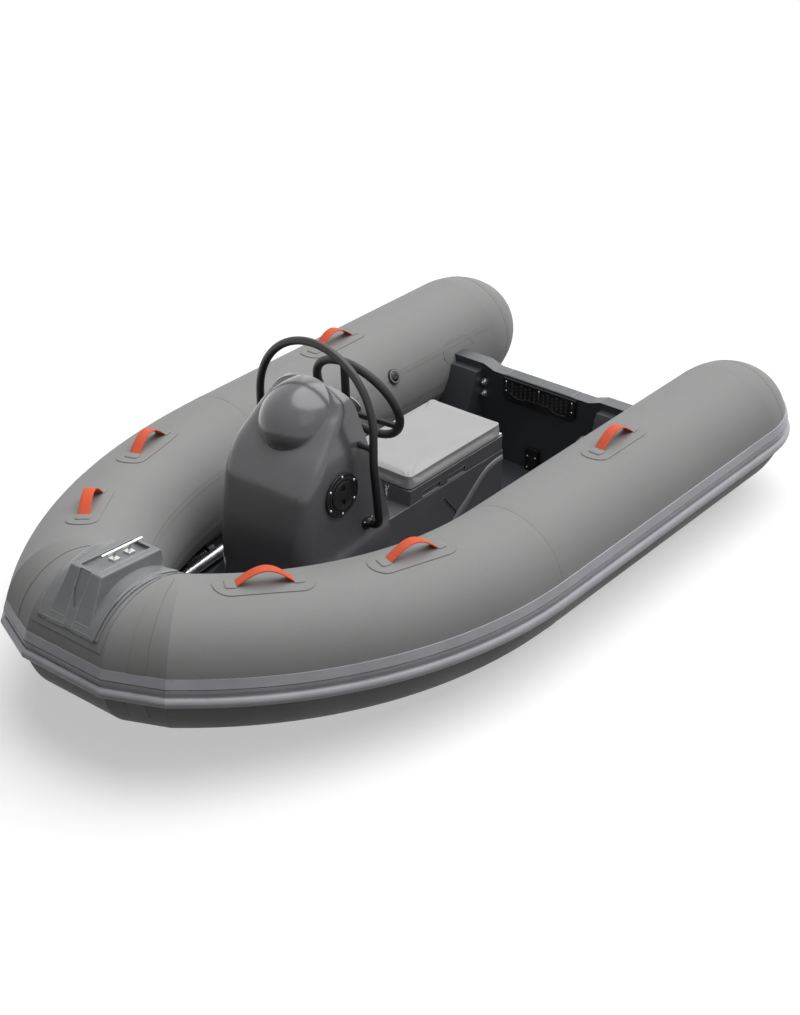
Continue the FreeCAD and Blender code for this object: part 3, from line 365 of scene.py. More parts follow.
def pipe(bm, points, r, count=8, closed=False):
    """A thin round bead along points."""
    points = [Vector(p) for p in points]
    rings = []
    n = len(points)
    side = None
    for i, p in enumerate(points):
        before = points[i - 1] if i or closed else points[i]
        after = points[(i + 1) % n] if i < n - 1 or closed else points[i]
        run = (after - before).normalized()
        if side is None:
            side = run.orthogonal().normalized()
        side = (side - run * side.dot(run)).normalized()
        up = run.cross(side)
        rings.append([p + side * (r * cos(a)) + up * (r * sin(a)) for a in turns(count)])
    if closed:
        rings.append(rings[0])
    skin(bm, rings, True, not closed)
    if closed:
        bmesh.ops.remove_doubles(bm, verts=bm.verts, dist=1e-6)


def surface_of(*names):
    """A search tree over some nodes' surfaces."""
    verts, faces = [], []
    for name in names:
        thing = nodes[name]
        base = len(verts)
        verts += [thing.matrix_world @ v.co for v in thing.data.vertices]
        faces += [[base + i for i in face.vertices] for face in thing.data.polygons]
    return BVHTree.FromPolygons(verts, faces)


def between(low, high, count):
    return [low + (high - low) * k / count for k in range(count + 1)]


def rounded(half_u, half_v, r, steps=5):
    """A rounded rectangle's outline."""
    points = []
    for cu, cv, start in ((1, 1, 0), (-1, 1, 90), (-1, -1, 180), (1, -1, 270)):
        for a in (radians(start + 90 * k / steps) for k in range(steps + 1)):
            points.append((cu * (half_u - r) + r * cos(a), cv * (half_v - r) + r * sin(a)))
    return points


def plate(bm, place, outline, low, high, bevel):
    """A thin plate bent by place(u, v, lift), with a softened edge."""
    biggest = max(max(abs(u), abs(v)) for u, v in outline)
    inset = 1 - bevel / biggest
    rings = [(1, low), (1, high - bevel * 0.6), (inset, high), (0.66, high), (0.33, high)]
    skin(bm, [[place(u * k, v * k, lift) for u, v in outline] for k, lift in rings])


def lines_through(rows, count):
    """Evenly placed points on a smooth line through rows of values."""
    out = []
    last = len(rows) - 1
    for k in range(count + 1):
        t = k * last / count
        i = min(int(t), last - 1)
        f = t - i
        near = (rows[max(0, min(last, j))] for j in (i - 1, i, i + 1, i + 2))
        out.append(tuple(
            0.5 * (2 * b + (c - a) * f + (2 * a - 5 * b + 4 * c - d) * f * f + (3 * b - a - 3 * c + d) * f ** 3)
            for a, b, c, d in zip(*near)))
    return out


# The port tube's path, from the part's own sizes
tube_r = 0.21
bend_start = V(0.09, 0.574, 0.245)
bend_r = 1.453
tilt = radians(10.2)
inboard = V(0, -cos(tilt), sin(tilt))
nose_x, nose_z = 1.1176, 0.3141


def tube_frame(s):
    """At a run from the bend's start: centre, heading, outboard and up."""
    if s <= 0:
        centre, heading = bend_start + V(s, 0, 0), V(1, 0, 0)
    else:
        a = s / bend_r
        centre = bend_start + V(bend_r * sin(a), 0, 0) + inboard * (bend_r * (1 - cos(a)))
        heading = V(cos(a), 0, 0) + inboard * sin(a)
    side = UP.cross(heading).normalized()
    return centre, heading, side, heading.cross(side)


def on_tube(s, roll, lift=0, hand=1):
    """A point on a side tube: roll is in degrees from the crown, outboard positive."""
    centre, heading, side, up = tube_frame(s)
    a = radians(roll)
    p = centre + (side * sin(a) + up * cos(a)) * (tube_r + lift)
    return V(p.x, p.y * hand, p.z)


def tube_out(s, roll, hand=1):
    return (on_tube(s, roll, 0.1, hand) - on_tube(s, roll, 0, hand)).normalized()


def on_nose(y, angle, lift=0):
    """A point on the bow's cross tube: angle is in degrees from the crown, forward positive."""
    a = radians(angle)
    r = tube_r + lift
    return V(nose_x + r * sin(a), y, nose_z + r * cos(a))


# Six lifting straps: webbing arched over a welded patch, its ends under fabric covers
strap_half, strap_rise, strap_width, strap_thick = 0.081, 0.041, 0.0345, 0.0032
strap_roll = 0.6
strap_end = 0.026
strap_runs = {"forward": radians(34.2) * bend_r, "middle": radians(16) * bend_r, "aft": -0.552}
patch_lift = 0.0026
# The webbing's section, in shares of its half width and its thickness
strap_section = [
    (-1, 0.3), (-0.96, 0), (-0.5, 0), (0, 0), (0.5, 0), (0.96, 0), (1, 0.3),
    (1, 0.7), (0.95, 1), (0.5, 1.12), (0, 1.16), (-0.5, 1.12), (-0.95, 1), (-1, 0.7),
]


def strap_height(u):
    share = min(1, abs(u) / strap_half)
    return strap_rise * cos(pi * share / 2) ** 1.03


def strap_piece(name, s, hand):
    rings = []
    reach = strap_half + strap_end
    for u in between(-reach, reach, 72):
        slope = atan((strap_height(u + 0.001) - strap_height(u - 0.001)) / 0.002)
        out = tube_out(s + u, strap_roll)
        ahead = tube_frame(s + u)[1]
        normal = out * cos(slope) - ahead * sin(slope)
        side = out.cross(ahead).normalized()
        base = on_tube(s + u, strap_roll, patch_lift + strap_height(u))
        thick = strap_thick * (0.45 if abs(u) > strap_half else 1)
        ring = [base + side * (a * strap_width / 2) + normal * (b * thick) for a, b in strap_section]
        rings.append([V(p.x, p.y * hand, p.z) for p in ring])
    bm = bmesh.new()
    skin(bm, rings)
    return make_piece(name, bm, "webbing", 50)


def strap_covers(side_name, hand):
    """Rounded fabric covers over the straps' ends."""
    bm = bmesh.new()
    outline = rounded(0.0185, 0.0215, 0.009)
    for run in strap_runs.values():
        for end in (-1, 1):
            middle = run + end * (strap_half + 0.015)

            def place(u, v, lift):
                return on_tube(middle + u, strap_roll + degrees(v / tube_r), lift, hand)

            plate(bm, place, outline, 0.0008, patch_lift + strap_thick * 0.95, 0.002)
    make_piece("tab_covers_" + side_name, bm, "patch_fabric")


for place_name, run in strap_runs.items():
    for side_name, hand in HANDS:
        strap = strap_piece("strap_" + place_name + "_" + side_name, run, hand)
        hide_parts("handle_" + place_name + "_" + side_name)
for side_name, hand in HANDS:
    strap_covers(side_name, hand)


# The cushion: panels blown up by a cloth simulation, crisp along the sewn rim
pad_wider, pad_higher, pad_shrink = 0.003, 0.0035, 0.002
pad_corner, pad_spacing = 0.017, 0.008
cloth_frames, cloth_cap = 20, 0.0045
# Shares of the panel at which the mesh has rings, from the rim to the middle
top_rings = (0.985, 0.955, 0.91, 0.86, 0.79, 0.71, 0.62, 0.53, 0.44, 0.35, 0.26, 0.17, 0.09)


def apply_modifiers(obj):
    graph = bpy.context.evaluated_depsgraph_get()
    mesh = bpy.data.meshes.new_from_object(obj.evaluated_get(graph))
    obj.modifiers.clear()
    old = obj.data
    obj.data = mesh
    bpy.data.meshes.remove(old)


def cushion_outline(half_x, half_y):
    """A rounded rectangle with evenly spaced points."""
    corners = rounded(half_x, half_y, pad_corner, 6)
    dense = []
    for (u0, v0), (u1, v1) in zip(corners, corners[1:] + corners[:1]):
        steps = max(1, round(hypot(u1 - u0, v1 - v0) / pad_spacing))
        dense += [(u0 + (u1 - u0) * k / steps, v0 + (v1 - v0) * k / steps) for k in range(steps)]
    return dense


def cushion_start(low, high):
    """The cut panels sewn up, a little smaller than the finished pad."""
    middle = [(a + b) / 2 for a, b in zip(low, high)]
    outline = cushion_outline((high[0] - low[0]) / 2 - pad_shrink, (high[1] - low[1]) / 2 - pad_shrink)
    top, bottom = high[2] - pad_shrink, low[2]
    rows = [(k / 12, bottom) for k in (2, 4, 6, 8, 10, 11, 12)]
    rows += [(1, bottom + (top - bottom) * k / 6) for k in range(1, 7)]
    rows += [(k, top + 0.0005) for k in top_rings]
    bm = bmesh.new()
    skin(bm, [[V(middle[0] + u * k, middle[1] + v * k, z) for u, v in outline] for k, z in rows])
    bm.verts.ensure_lookup_table()
    crease = bm.edges.layers.float.new("crease_edge")
    count = len(outline)
    rim = set(range(12 * count, 13 * count))
    foot = set(range(6 * count, 7 * count))
    for edge in bm.edges:
        ends = {v.index for v in edge.verts}
        if ends <= rim:
            edge[crease] = 0.75
        elif ends <= foot:
            edge[crease] = 0.5
    mesh = bpy.data.meshes.new("seat_pad")
    bm.to_mesh(mesh)
    bm.free()
    return mesh, sorted(rim), 7 * count


def inflate(pad, pinned):
    """Blows the cover up by cloth simulation, its underside pinned to the board."""
    group = pad.vertex_groups.new(name="board")
    group.add(list(range(pinned)), 1, "REPLACE")
    cloth = pad.modifiers.new("cloth", "CLOTH")
    settings = cloth.settings
    for key, value in (
        ("quality", 6), ("mass", 0.3), ("tension_stiffness", 22), ("compression_stiffness", 22),
        ("shear_stiffness", 10), ("bending_stiffness", 2.5), ("use_pressure", True),
        ("uniform_pressure_force", 4), ("vertex_group_mass", "board"),
    ):
        setattr(settings, key, value)
    settings.effector_weights.gravity = 0
    cloth.point_cache.frame_start = 1
    cloth.point_cache.frame_end = cloth_frames
    for step in range(1, cloth_frames + 1):
        scene.frame_set(step)
    apply_modifiers(pad)


def gather(mesh, low, high, rim):
    """Draws the side panels in, pulls the cover tight to its rim and puckers it at the corners."""
    half = [(b - a) / 2 for a, b in zip(low, high)]
    middle = [(a + b) / 2 for a, b in zip(low, high)]
    for v in mesh.vertices:
        if v.index in rim:
            continue
        du = abs(v.co.x - middle[0]) / half[0]
        dv = abs(v.co.y - middle[1]) / half[1]
        out = V(v.co.x - middle[0], v.co.y - middle[1], 0)
        out = out.normalized() if out.length else out
        corner = max(0, min(du, dv) - 0.8) / 0.2
        rise = (v.co.z - low[2]) / (high[2] - low[2])
        if max(du, dv) > 0.93:
            waist = exp(-((rise - 0.55) / 0.28) ** 2)
            v.co -= out * (0.0013 * waist * (1 - 0.7 * corner))
            v.co -= out * (0.0005 * corner * sin(v.co.x * 420 + v.co.y * 510))
        if rise > 0.9:
            near = exp(-((1 - max(du, dv)) / 0.035) ** 2)
            ripple = sin((v.co.x if dv > du else v.co.y) * 190)
            v.co.z -= 0.0007 * near * (0.6 + 0.4 * ripple)


def cushion_piece():
    low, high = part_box("seat_cushion")
    low = [low[0] - pad_wider, low[1] - pad_wider, low[2]]
    high = [high[0] + pad_wider, high[1] + pad_wider, high[2] + pad_higher]
    mesh, rim, pinned = cushion_start(low, high)
    pad = placed("seat_pad", mesh)
    start = [v.co.copy() for v in mesh.vertices]
    inflate(pad, pinned)
    for v, was in zip(pad.data.vertices, start):
        move = v.co - was
        if move.length > cloth_cap:
            move *= cloth_cap / move.length
        v.co = was + move
    gather(pad.data, low, high, set(rim))
    pad.modifiers.new("smooth", "SUBSURF").levels = 2
    apply_modifiers(pad)
    seam_line = [pad.data.vertices[i].co.copy() for i in rim]
    pad.data.polygons.foreach_set("use_smooth", [True] * len(pad.data.polygons))
    pad.data.set_sharp_from_angle(angle=radians(70))
    pad.data.materials.clear()
    pad.data.materials.append(materials["cushion_vinyl"])
    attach(pad, "seat_top")
    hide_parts("seat_cushion")
    bm = bmesh.new()
    pipe(bm, seam_line, 0.0011, 8, True)
    welt = make_piece("seat_pad_welt", bm, "cushion_vinyl", 60, "seat_top")


cushion_piece()


# Seams on the tubes
seam_sink = 0.0006


def hairline(bm, tree, points):
    """The dark line of glue along a tape's edge."""
    pipe(bm, [tree.find_nearest(p)[0] for p in points], 0.0008, 6)


def tape(bm, glue, tree, first, second, height, across):
    """A tape between two lines on a surface. Its edges show lines of glue, unless glue is None."""
    steps = [(k / across, height) for k in range(across + 1)]
    rings = []
    for a, b in zip(first, second):
        row = []
        for share, lift in [(0, -seam_sink)] + steps + [(1, -seam_sink)]:
            q, n = tree.find_nearest(a.lerp(b, share))[:2]
            row.append(q + n * lift)
        rings.append(row)
    skin(bm, rings, False, False)
    if glue:
        hairline(glue, tree, first)
        hairline(glue, tree, second)


def tube_seams():
    tree = surface_of("tube_port", "tube_starboard", "tube_bow", "end_cone_port", "end_cone_starboard")
    # The gore tape's two edges on the nose: y in mm, and degrees from the crown
    inner = [(126, -17), (165, 5), (190, 26), (205, 42), (218, 57), (225, 70), (222, 95), (205, 125)]
    outer = [(160, -18), (176, -12), (214, 10), (241, 28), (266, 50), (277, 64), (280, 92), (262, 125)]
    flap = rounded(0.088, 0.155, 0.05, 7)
    for side_name, hand in HANDS:
        bm, glue = bmesh.new(), bmesh.new()
        gore = (lines_through(rows, 48) for rows in (inner, outer))
        edges = [[on_nose(y / 1000 * hand, a, 0.002) for y, a in line] for line in gore]
        tape(bm, glue, tree, *edges, 0.0014, 8)
        # Round tapes where the panels join: only the aft one shows its glue
        rolls = between(-175, 185, 72)
        for s, wide, lines in ((-1.325, 0.02, glue), (-0.02, 0.026, None)):
            edges = [[on_tube(run, roll, 0.001, hand) for roll in rolls] for run in (s, s + wide)]
            tape(bm, lines, tree, *edges, 0.0006, 2)
        # Long tapes on its inner side
        runs = between(-1.19, 1.08, 120)
        for pair in ((-98, -105), (-60, -64)):
            edges = [[on_tube(run, roll, 0.001, hand) for run in runs] for roll in pair]
            tape(bm, glue, tree, *edges, 0.0008, 2)

        # A fabric flap round the transom's shoulder
        def place(u, v, lift):
            return on_tube(-1.0075 + u, -100 + degrees(v / tube_r), lift, hand)

        plate(bm, place, flap, -0.0005, 0.0011, 0.001)
        hairline(glue, tree, [place(u, v, 0.001) for u, v in flap + flap[:1]])
        make_piece("tube_seams_" + side_name, bm, "patch_fabric", 30)
        make_piece("seam_glue_" + side_name, glue, "seam_glue", 60)


# The bow moulding
def bow_details():
    """Two ridges along each flank, and the cleat's screws."""
    for side_name, hand in HANDS:
        bm = bmesh.new()
        for start, end, r, lift in ((0.101, 0.113, 0.0052, 0.0062), (0.1105, 0.128, 0.0056, 0.003)):
            places = [((start + (end - start) * f ** 0.8) * hand, 59 - 93 * f) for f in between(0, 1, 48)]
            pipe(bm, [on_nose(y, angle, lift) for y, angle in places], r, 10)
        make_piece("bow_ridges_" + side_name, bm, "step_plastic", 60)
    x, z = nose_x - 0.022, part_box("bow_cleat")[0][2] + 0.0052
    screws("bow_cleat_screws", [(x + dx, y, z) for dx in (-0.028, 0.028) for y in (-0.008, 0.008)], UP, 3)


def edge_beads(name, node, slot, r, least, body="boat", keep=lambda p: True):
    """Thin rounded beads along a node's outer edges that are sharper than the least angle."""
    source = bmesh.new()
    source.from_mesh(nodes[node].data)
    bmesh.ops.remove_doubles(source, verts=source.verts, dist=2e-5)
    bmesh.ops.recalc_face_normals(source, faces=source.faces)
    bm = bmesh.new()
    for edge in source.edges:
        if len(edge.link_faces) != 2 or edge.calc_face_angle_signed(0) < least:
            continue
        a, b = (v.co.copy() for v in edge.verts)
        if (a - b).length > 0.0004 and keep((a + b) / 2):
            inward = -(edge.link_faces[0].normal + edge.link_faces[1].normal).normalized() * r * 0.75
            pipe(bm, [a + inward, b + inward], r, 6)
    source.free()
    make_piece(name, bm, slot, 80, body)


def edge_details():
    # The beads round the edges; their lighter finishes are painted highlights along them.
    edge_beads("bow_step_edges", "bow_step", "moulded_edge", 0.0017, 0.45)
    edge_beads("seat_lid_edges", "seat_lid", "gel_edge", 0.0011, 0.8, "seat_top")
    edge_beads(
        "seat_box_edges", "seat_box", "gel_edge", 0.0011, 0.8, keep=lambda p: abs(p.y) > 0.14 or p.z < 0.27)


def slot_filler():
    """Closes the lower part of the moulding's front groove, so that the groove ends in a point."""
    tree = surface_of("bow_step")
    bm = bmesh.new()
    for hand in (1, -1):
        rings = []
        for k in range(33):
            a = radians(31 + 29 * k / 32)
            way = V(sin(a), 0, cos(a))
            side = 0.0245 - 0.006 * k / 32
            gap = side * max(0, 1 - k / 16)
            hits = [tree.ray_cast(V(nose_x, y, nose_z) + way * 0.6, -way)[0] for y in (side, -side)]
            if None in hits:
                continue
            lift = way * 0.0004
            deep = way * 0.004 * min(1, k / 2)
            middle = (hits[0] + hits[1]) / 2
            outer = V(middle.x, side * hand, middle.z)
            inner = V(middle.x, gap * hand, middle.z)
            lip = inner + lift - way * (0.0015 if gap else 0)
            rings.append([outer - deep, outer + lift, lip, inner - deep - way * 0.002])
        if len(rings) > 1:
            skin(bm, rings)
    make_piece("bow_step_web", bm, "step_plastic", 50)


# Fasteners and fittings
def hatch_details():
    at = V(0.377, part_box("hatch_ring")[1][1], 0.487)
    lid = V(at.x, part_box("hatch_lid")[1][1], at.z)
    angles = [radians(30 + 60 * k) for k in range(6)]
    screws("hatch_screws", [at + V(0.061 * cos(a), 0, 0.061 * sin(a)) for a in angles], ACROSS, 4.2)
    bm = bmesh.new()
    lathe(bm, [(50.5, -1), (50.5, 1.6), (53.5, 2.4), (55.5, 1.6), (56, -1)], at, ACROSS, 48)
    lathe(bm, [(66, -1), (66.4, 1.2), (69, 1.2), (69.8, -1)], at, ACROSS, 48)
    lathe(bm, [(40, -1), (40.5, 1.2), (42.5, 1.2), (43, -1)], lid, ACROSS, 48)
    make_piece("hatch_rings", bm, "black_plastic")


def pad_details(node, face, axis):
    """The clamp pad's face: rows of small grip stars, a stepped bead and three screwed bars."""
    x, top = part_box(node)[face][0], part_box(node)[1][2]
    bm = bmesh.new()
    turn_of = [Matrix.Rotation(radians(k), 3, "X") for k in (0, 60, 120)]
    columns, rows = 13, 4
    for i in range(columns):
        for j in range(rows):
            y = -0.114 + 0.228 * i / (columns - 1)
            z = top - 0.014 - 0.0125 * j - (0.006 if i % 2 else 0)
            if abs(y) < 0.01 and j < 2:
                continue
            for turn in turn_of:
                block(bm, (x, y, z), (0.0009, 0.005, 0.0007), turn)
    line = [
        (-0.128, -0.03), (-0.128, -0.052), (-0.098, -0.064), (-0.07, -0.066), (-0.052, -0.058),
        (0.04, -0.058), (0.066, -0.07), (0.098, -0.072), (0.118, -0.066),
    ]
    pipe(bm, [(x, y, top + z) for y, z in line], 0.0009, 6)
    for y, z0, z1 in ((-0.139, -0.012, -0.032), (0, -0.01, -0.03), (0.139, -0.012, -0.032)):
        block(bm, (x, y, top + (z0 + z1) / 2), (0.0018, 0.0028, 0.012), None, 0.0008)
    make_piece(node + "_grip", bm, "grip_marks", 30)
    spots = ((-0.139, -0.012), (0, -0.01), (0.139, -0.012), (-0.139, -0.047), (0.139, -0.047))
    screws(node + "_screws", [(x + axis.x * 0.0016, y, top + z) for y, z in spots], axis, 3)


def transom_details():
    # A ribbed wear strip along the notch
    bm = bmesh.new()
    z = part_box("transom")[1][2] - 0.016
    for x in (-0.939 + 0.0068 * k for k in range(7)):
        pipe(bm, [(x, -0.148, z + 0.0012), (x, 0.125, z + 0.0012)], 0.0014, 6)
    block(bm, (-0.9185, -0.0115, z + 0.0004), (0.0255, 0.142, 0.0009), None, 0.0004)
    make_piece("notch_strip", bm, "step_plastic", 30)
    low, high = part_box("drain_cover")
    heights = (low[2] + 0.012, high[2] - 0.03)
    spots = [(high[0], y, z) for y in (low[1] + 0.01, high[1] - 0.01) for z in heights]
    screws("drain_screws", spots, AHEAD, 3.4)
    bm = bmesh.new()
    for z in (low[2] + 0.026 + 0.009 * k for k in range(4)):
        block(bm, (high[0] + 0.0006, (low[1] + high[1]) / 2, z), (0.0012, 0.016, 0.0022), None, 0.0006)
    make_piece("drain_louvres", bm, "black_tube")
    # Outside: a drain plug and its flange, low on the transom
    bm = bmesh.new()
    hit = surface_of("transom", "hull").ray_cast(V(-1.3, -0.019, -0.02), AHEAD)[0]
    if hit is not None:
        plug = [(26, -1), (26, 3), (23, 4.5), (18, 4.5), (16.5, 12), (14, 13.5), (0, 13.5)]
        lathe(bm, plug, hit, ASTERN, 32)
        block(bm, hit + V(-0.016, 0, 0), (0.004, 0.013, 0.0028), None, 0.001)
    make_piece("drain_plug", bm, "black_plastic")


def seat_details():
    low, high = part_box("seat_lid")
    front = high[0]
    # Bright clips by the aft corners
    bm = bmesh.new()
    for y in (0.137, -0.137):
        block(bm, (low[0] + 0.011, y, high[2] + 0.0032), (0.009, 0.007, 0.0032), None, 0.001)
        pin = [(3.4, -7), (4.2, -6.2), (4.2, 6.2), (3.4, 7)]
        lathe(bm, pin, (low[0] + 0.003, y, high[2] + 0.0035), ACROSS, 14)
    make_piece("seat_lid_clips", bm, "stainless", body="seat_top")
    # The toggle latch on the lid's front: chain links and screws
    low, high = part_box("seat_latch")
    bm = bmesh.new()
    for j in range(5):
        at = V(front + 0.0024, 0.057, 0.2865 + 0.0072 * j)
        ring = []
        for a in turns(16):
            x, y = (0.0018, 0.0036 * cos(a)) if j % 2 else (0.0018 + 0.003 * cos(a), 0.0008)
            ring.append(at + V(x, y, 0.0052 * sin(a)))
        pipe(bm, ring, 0.001, 6, True)
    for y in (0.051, 0.063):
        screw(bm, (front, y, 0.3205), AHEAD, 2.6)
    for z in (low[2] + 0.004, high[2] - 0.004):
        screw(bm, (high[0], (low[1] + high[1]) / 2, z), AHEAD, 2.8)
    make_piece("seat_latch_links", bm, "stainless", body="seat_top")
    # On the plinth: hinge screws on its back, and a rubber gasket under the lid
    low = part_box("seat_hinge")[0]
    spots = [(low[0] + 0.0055, -0.09 + 0.045 * k, low[2] + 0.008) for k in range(5)]
    screws("seat_hinge_screws", spots, ASTERN, 3)
    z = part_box("seat_box")[1][2] + 0.0001
    bm = bmesh.new()
    pipe(bm, [(-0.2235 + u, v, z) for u, v in rounded(0.205, 0.118, 0.02)], 0.0012, 6, True)
    make_piece("seat_gasket", bm, "black_plastic")


def plinth_bands():
    """The raised panel's sloping edge, which sweeps up each side of the seat plinth; its lighter finish is a
    painted highlight.
    """
    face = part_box("seat_box")[1][1]
    line = [
        (-0.098, -0.03), (-0.14, 0.04), (-0.184, 0.103), (-0.227, 0.1427), (-0.2717, 0.1712),
        (-0.3163, 0.204), (-0.3726, 0.239), (-0.418, 0.251), (-0.4655, 0.2532),
    ]
    # The band's section: how far up from its line, and how far out of the face
    section = [
        (0.0075, -0.001), (0.007, 0.0003), (-0.005, 0.0052), (-0.0085, 0.005), (-0.022, 0.0003),
        (-0.022, -0.001),
    ]
    smooth = lines_through(line, 40)
    rings = []
    for i, (x, z) in enumerate(smooth):
        before, after = smooth[max(0, i - 1)], smooth[min(40, i + 1)]
        run = V(after[0] - before[0], 0, after[1] - before[1]).normalized()
        up = V(run.z, 0, -run.x)
        if up.z < 0:
            up = -up
        rings.append([V(x, face, z) + up * rise + ACROSS * out for rise, out in section])
    bm = bmesh.new()
    for hand in (1, -1):
        skin(bm, [[V(p.x, p.y * hand, p.z) for p in ring] for ring in rings])
    make_piece("plinth_bands", bm, "gel_edge", 50)


def transom_nuts():
    bm = bmesh.new()
    for y in (-0.241, 0.241):
        for z in (0.2, 0.244):
            lathe(bm, [(13, -0.4), (13, 1.2), (11.8, 2), (8.5, 2)], (-0.8896, y, z), AHEAD, 24)
            hex_nut(bm, (-0.8808, y, z), AHEAD, 7.8, 4.5)
    make_piece("transom_nuts", bm, "stainless")


def rail_details():
    profile = [(24.5, -0.5), (24.5, 3), (22, 5.2), (16.5, 6.2), (14.8, 16), (12.7, 18), (12.4, -0.5)]
    angles = [radians(a) for a in (20, 140, 260)]
    for side_name, hand in HANDS:
        foot, out = V(0.258, 0.1746 * hand, 0.342), V(0, hand, 0)
        bm = bmesh.new()
        lathe(bm, profile, foot, out, 28)
        make_piece("rail_foot_" + side_name, bm, "black_plastic")
        spots = [foot + V(0.0195 * cos(a), 0.0045 * hand, 0.0195 * sin(a)) for a in angles]
        screws("rail_screws_" + side_name, spots, out, 3.2)


# The wheel, on its raked shaft
rake = radians(23.9)
wheel_at = V(0.088, 0, 0.639)
wheel_axis = V(-cos(rake), 0, sin(rake))
wheel_up = V(sin(rake), 0, cos(rake))
wheel_side = wheel_axis.cross(wheel_up)
wheel_r, rim_r = 0.155, 0.0131


def wheel_details():
    hub = wheel_at - wheel_axis * 0.032
    bm = bmesh.new()
    lathe(bm, [(31, -1), (31, 2), (29, 4.2), (24, 6.8), (12, 8.6), (0, 9)], hub, wheel_axis, 40)
    make_piece("wheel_cap", bm, "black_plastic", body="wheel")
    bm = bmesh.new()
    lathe(bm, [(30, 1.8), (32.2, 3), (33.4, 1.4), (33, -1)], hub, wheel_axis, 40)
    make_piece("wheel_cap_ring", bm, "stainless", body="wheel")
    # A moulding line round the rim, with grip bumps behind it
    bm = bmesh.new()
    ring = [wheel_at + (wheel_side * cos(a) + wheel_up * sin(a)) * (wheel_r - rim_r) for a in turns(96)]
    pipe(bm, ring, 0.0008, 6, True)
    for a in turns(36, 0.5):
        out = wheel_side * cos(a) + wheel_up * sin(a)
        centre = wheel_at + out * wheel_r
        arc = [radians(b) for b in between(150, 210, 5)]
        pipe(bm, [centre + (out * sin(b - pi) + wheel_axis * cos(b)) * 0.013 for b in arc], 0.0013, 6)
    make_piece("wheel_grip", bm, "wheel_rubber", body="wheel")


def dash_details():
    """A gauge and a panel of rockers, with no lettering."""
    tree = surface_of("console")

    def dash(y):
        hit, normal = tree.ray_cast(V(-0.4, y, 0.59), AHEAD)[:2]
        if normal.x > 0:
            normal = -normal
        return hit, normal, normal.to_track_quat("Z", "Y").to_matrix()

    at, normal, turn = dash(0.105)
    panel, panel_normal, panel_turn = dash(-0.105)
    bezel = bmesh.new()
    lathe(bezel, [(36, -2), (36, 3), (34, 6), (31, 6.2), (29.5, 3.5), (29.5, 1.2)], at, normal, 40)
    lathe(bezel, [(29.6, 1.2), (0, 1.4)], at, normal, 40)
    block(bezel, panel + panel_normal * 0.0015, (0.034, 0.047, 0.003), panel_turn, 0.0012)
    for k in (-1, 0, 1):
        spot = panel + panel_turn @ V(0, 0.028 * k, 0.0052)
        rock = Matrix.Rotation(radians(6 * (k or 2)), 3, "Y")
        block(bezel, spot, (0.016, 0.01, 0.0034), panel_turn @ rock, 0.0012)
    make_piece("dash_units", bezel, "black_plastic")
    bm = bmesh.new()
    for k in range(21):
        a = radians(-40 + 13 * k)
        long = 0.0034 if k % 5 == 0 else 0.0018
        spot = at + turn @ V(0.0262 * cos(a), 0.0262 * sin(a), 0.002)
        block(bm, spot, (long, 0.0004, 0.0003), turn @ Matrix.Rotation(a, 3, "Z"))
    needle = turn @ Matrix.Rotation(radians(150), 3, "Z")
    block(bm, at + needle @ V(0.01, 0, 0.0028), (0.013, 0.0006, 0.0004), needle)
    make_piece("gauge_marks", bm, "strake_rubber")
    bm = bmesh.new()
    for u in (-0.028, 0.028):
        for v in (-0.041, 0.041):
            screw(bm, panel + panel_turn @ V(u, v, 0.0044), panel_normal, 2.8)
    lathe(bm, [(37.5, -1), (37.5, 1.4), (36.2, 3.4)], at, normal, 40)
    make_piece("dash_screws", bm, "stainless")


def valve_details():
    tree = surface_of("valves")
    roll = -62
    spots = [(on_tube(-0.65, roll, 0.05, hand), -tube_out(-0.65, roll, hand)) for side_name, hand in HANDS]
    lean = V(sin(radians(roll)), 0, cos(radians(roll)))
    spots.append((V(nose_x, 0.0528, nose_z) + lean * 0.26, -lean))
    caps, rims = bmesh.new(), bmesh.new()
    for origin, way in spots:
        hit = tree.ray_cast(origin, way)[0]
        if hit is None:
            continue
        lathe(rims, [(23.5, -1), (23.5, 1.4), (21.5, 2.6), (18.5, 2.6), (18, 0.6)], hit, -way, 36)
        lathe(caps, [(16.5, -1), (16.5, 3), (15, 4.4), (7, 5), (6.6, 3.4), (0, 3.4)], hit, -way, 24)
        turn = (-way).to_track_quat("Z", "Y").to_matrix()
        for a in (radians(30 * k) for k in range(12)):
            spot = hit + turn @ V(0.0164 * cos(a), 0.0164 * sin(a), 0.0018)
            block(caps, spot, (0.0009, 0.0012, 0.0018), turn @ Matrix.Rotation(a, 3, "Z"))
    make_piece("valve_rims", rims, "patch_fabric")
    make_piece("valve_caps", caps, "black_tube")


def oar_details():
    for side_name, hand in HANDS:
        fore, aft = V(0.575, 0.338 * hand, 0.1153), V(-0.06, 0.338 * hand, 0.1453)
        run = (aft - fore).normalized()
        grips = bmesh.new()
        for k in range(9):
            at = fore + run * (0.045 + 0.01 * k)
            lathe(grips, [(17.8, -4), (19.2, -2.6), (19.2, 2.6), (17.8, 4)], at, run, 24)
        for share in (0.24, 0.7):
            at = fore.lerp(aft, share)
            lathe(grips, [(17.8, -14), (21.5, -12), (22.5, 0), (21.5, 12), (17.8, 14)], at, run, 28)
            away = V(0, hand, 0.35).normalized()
            lean = Matrix.Rotation(0.33 * hand, 3, "X")
            block(grips, at + away * 0.0275, (0.013, 0.0075, 0.01), lean, 0.002)
        make_piece("oar_collars_" + side_name, grips, "black_plastic")


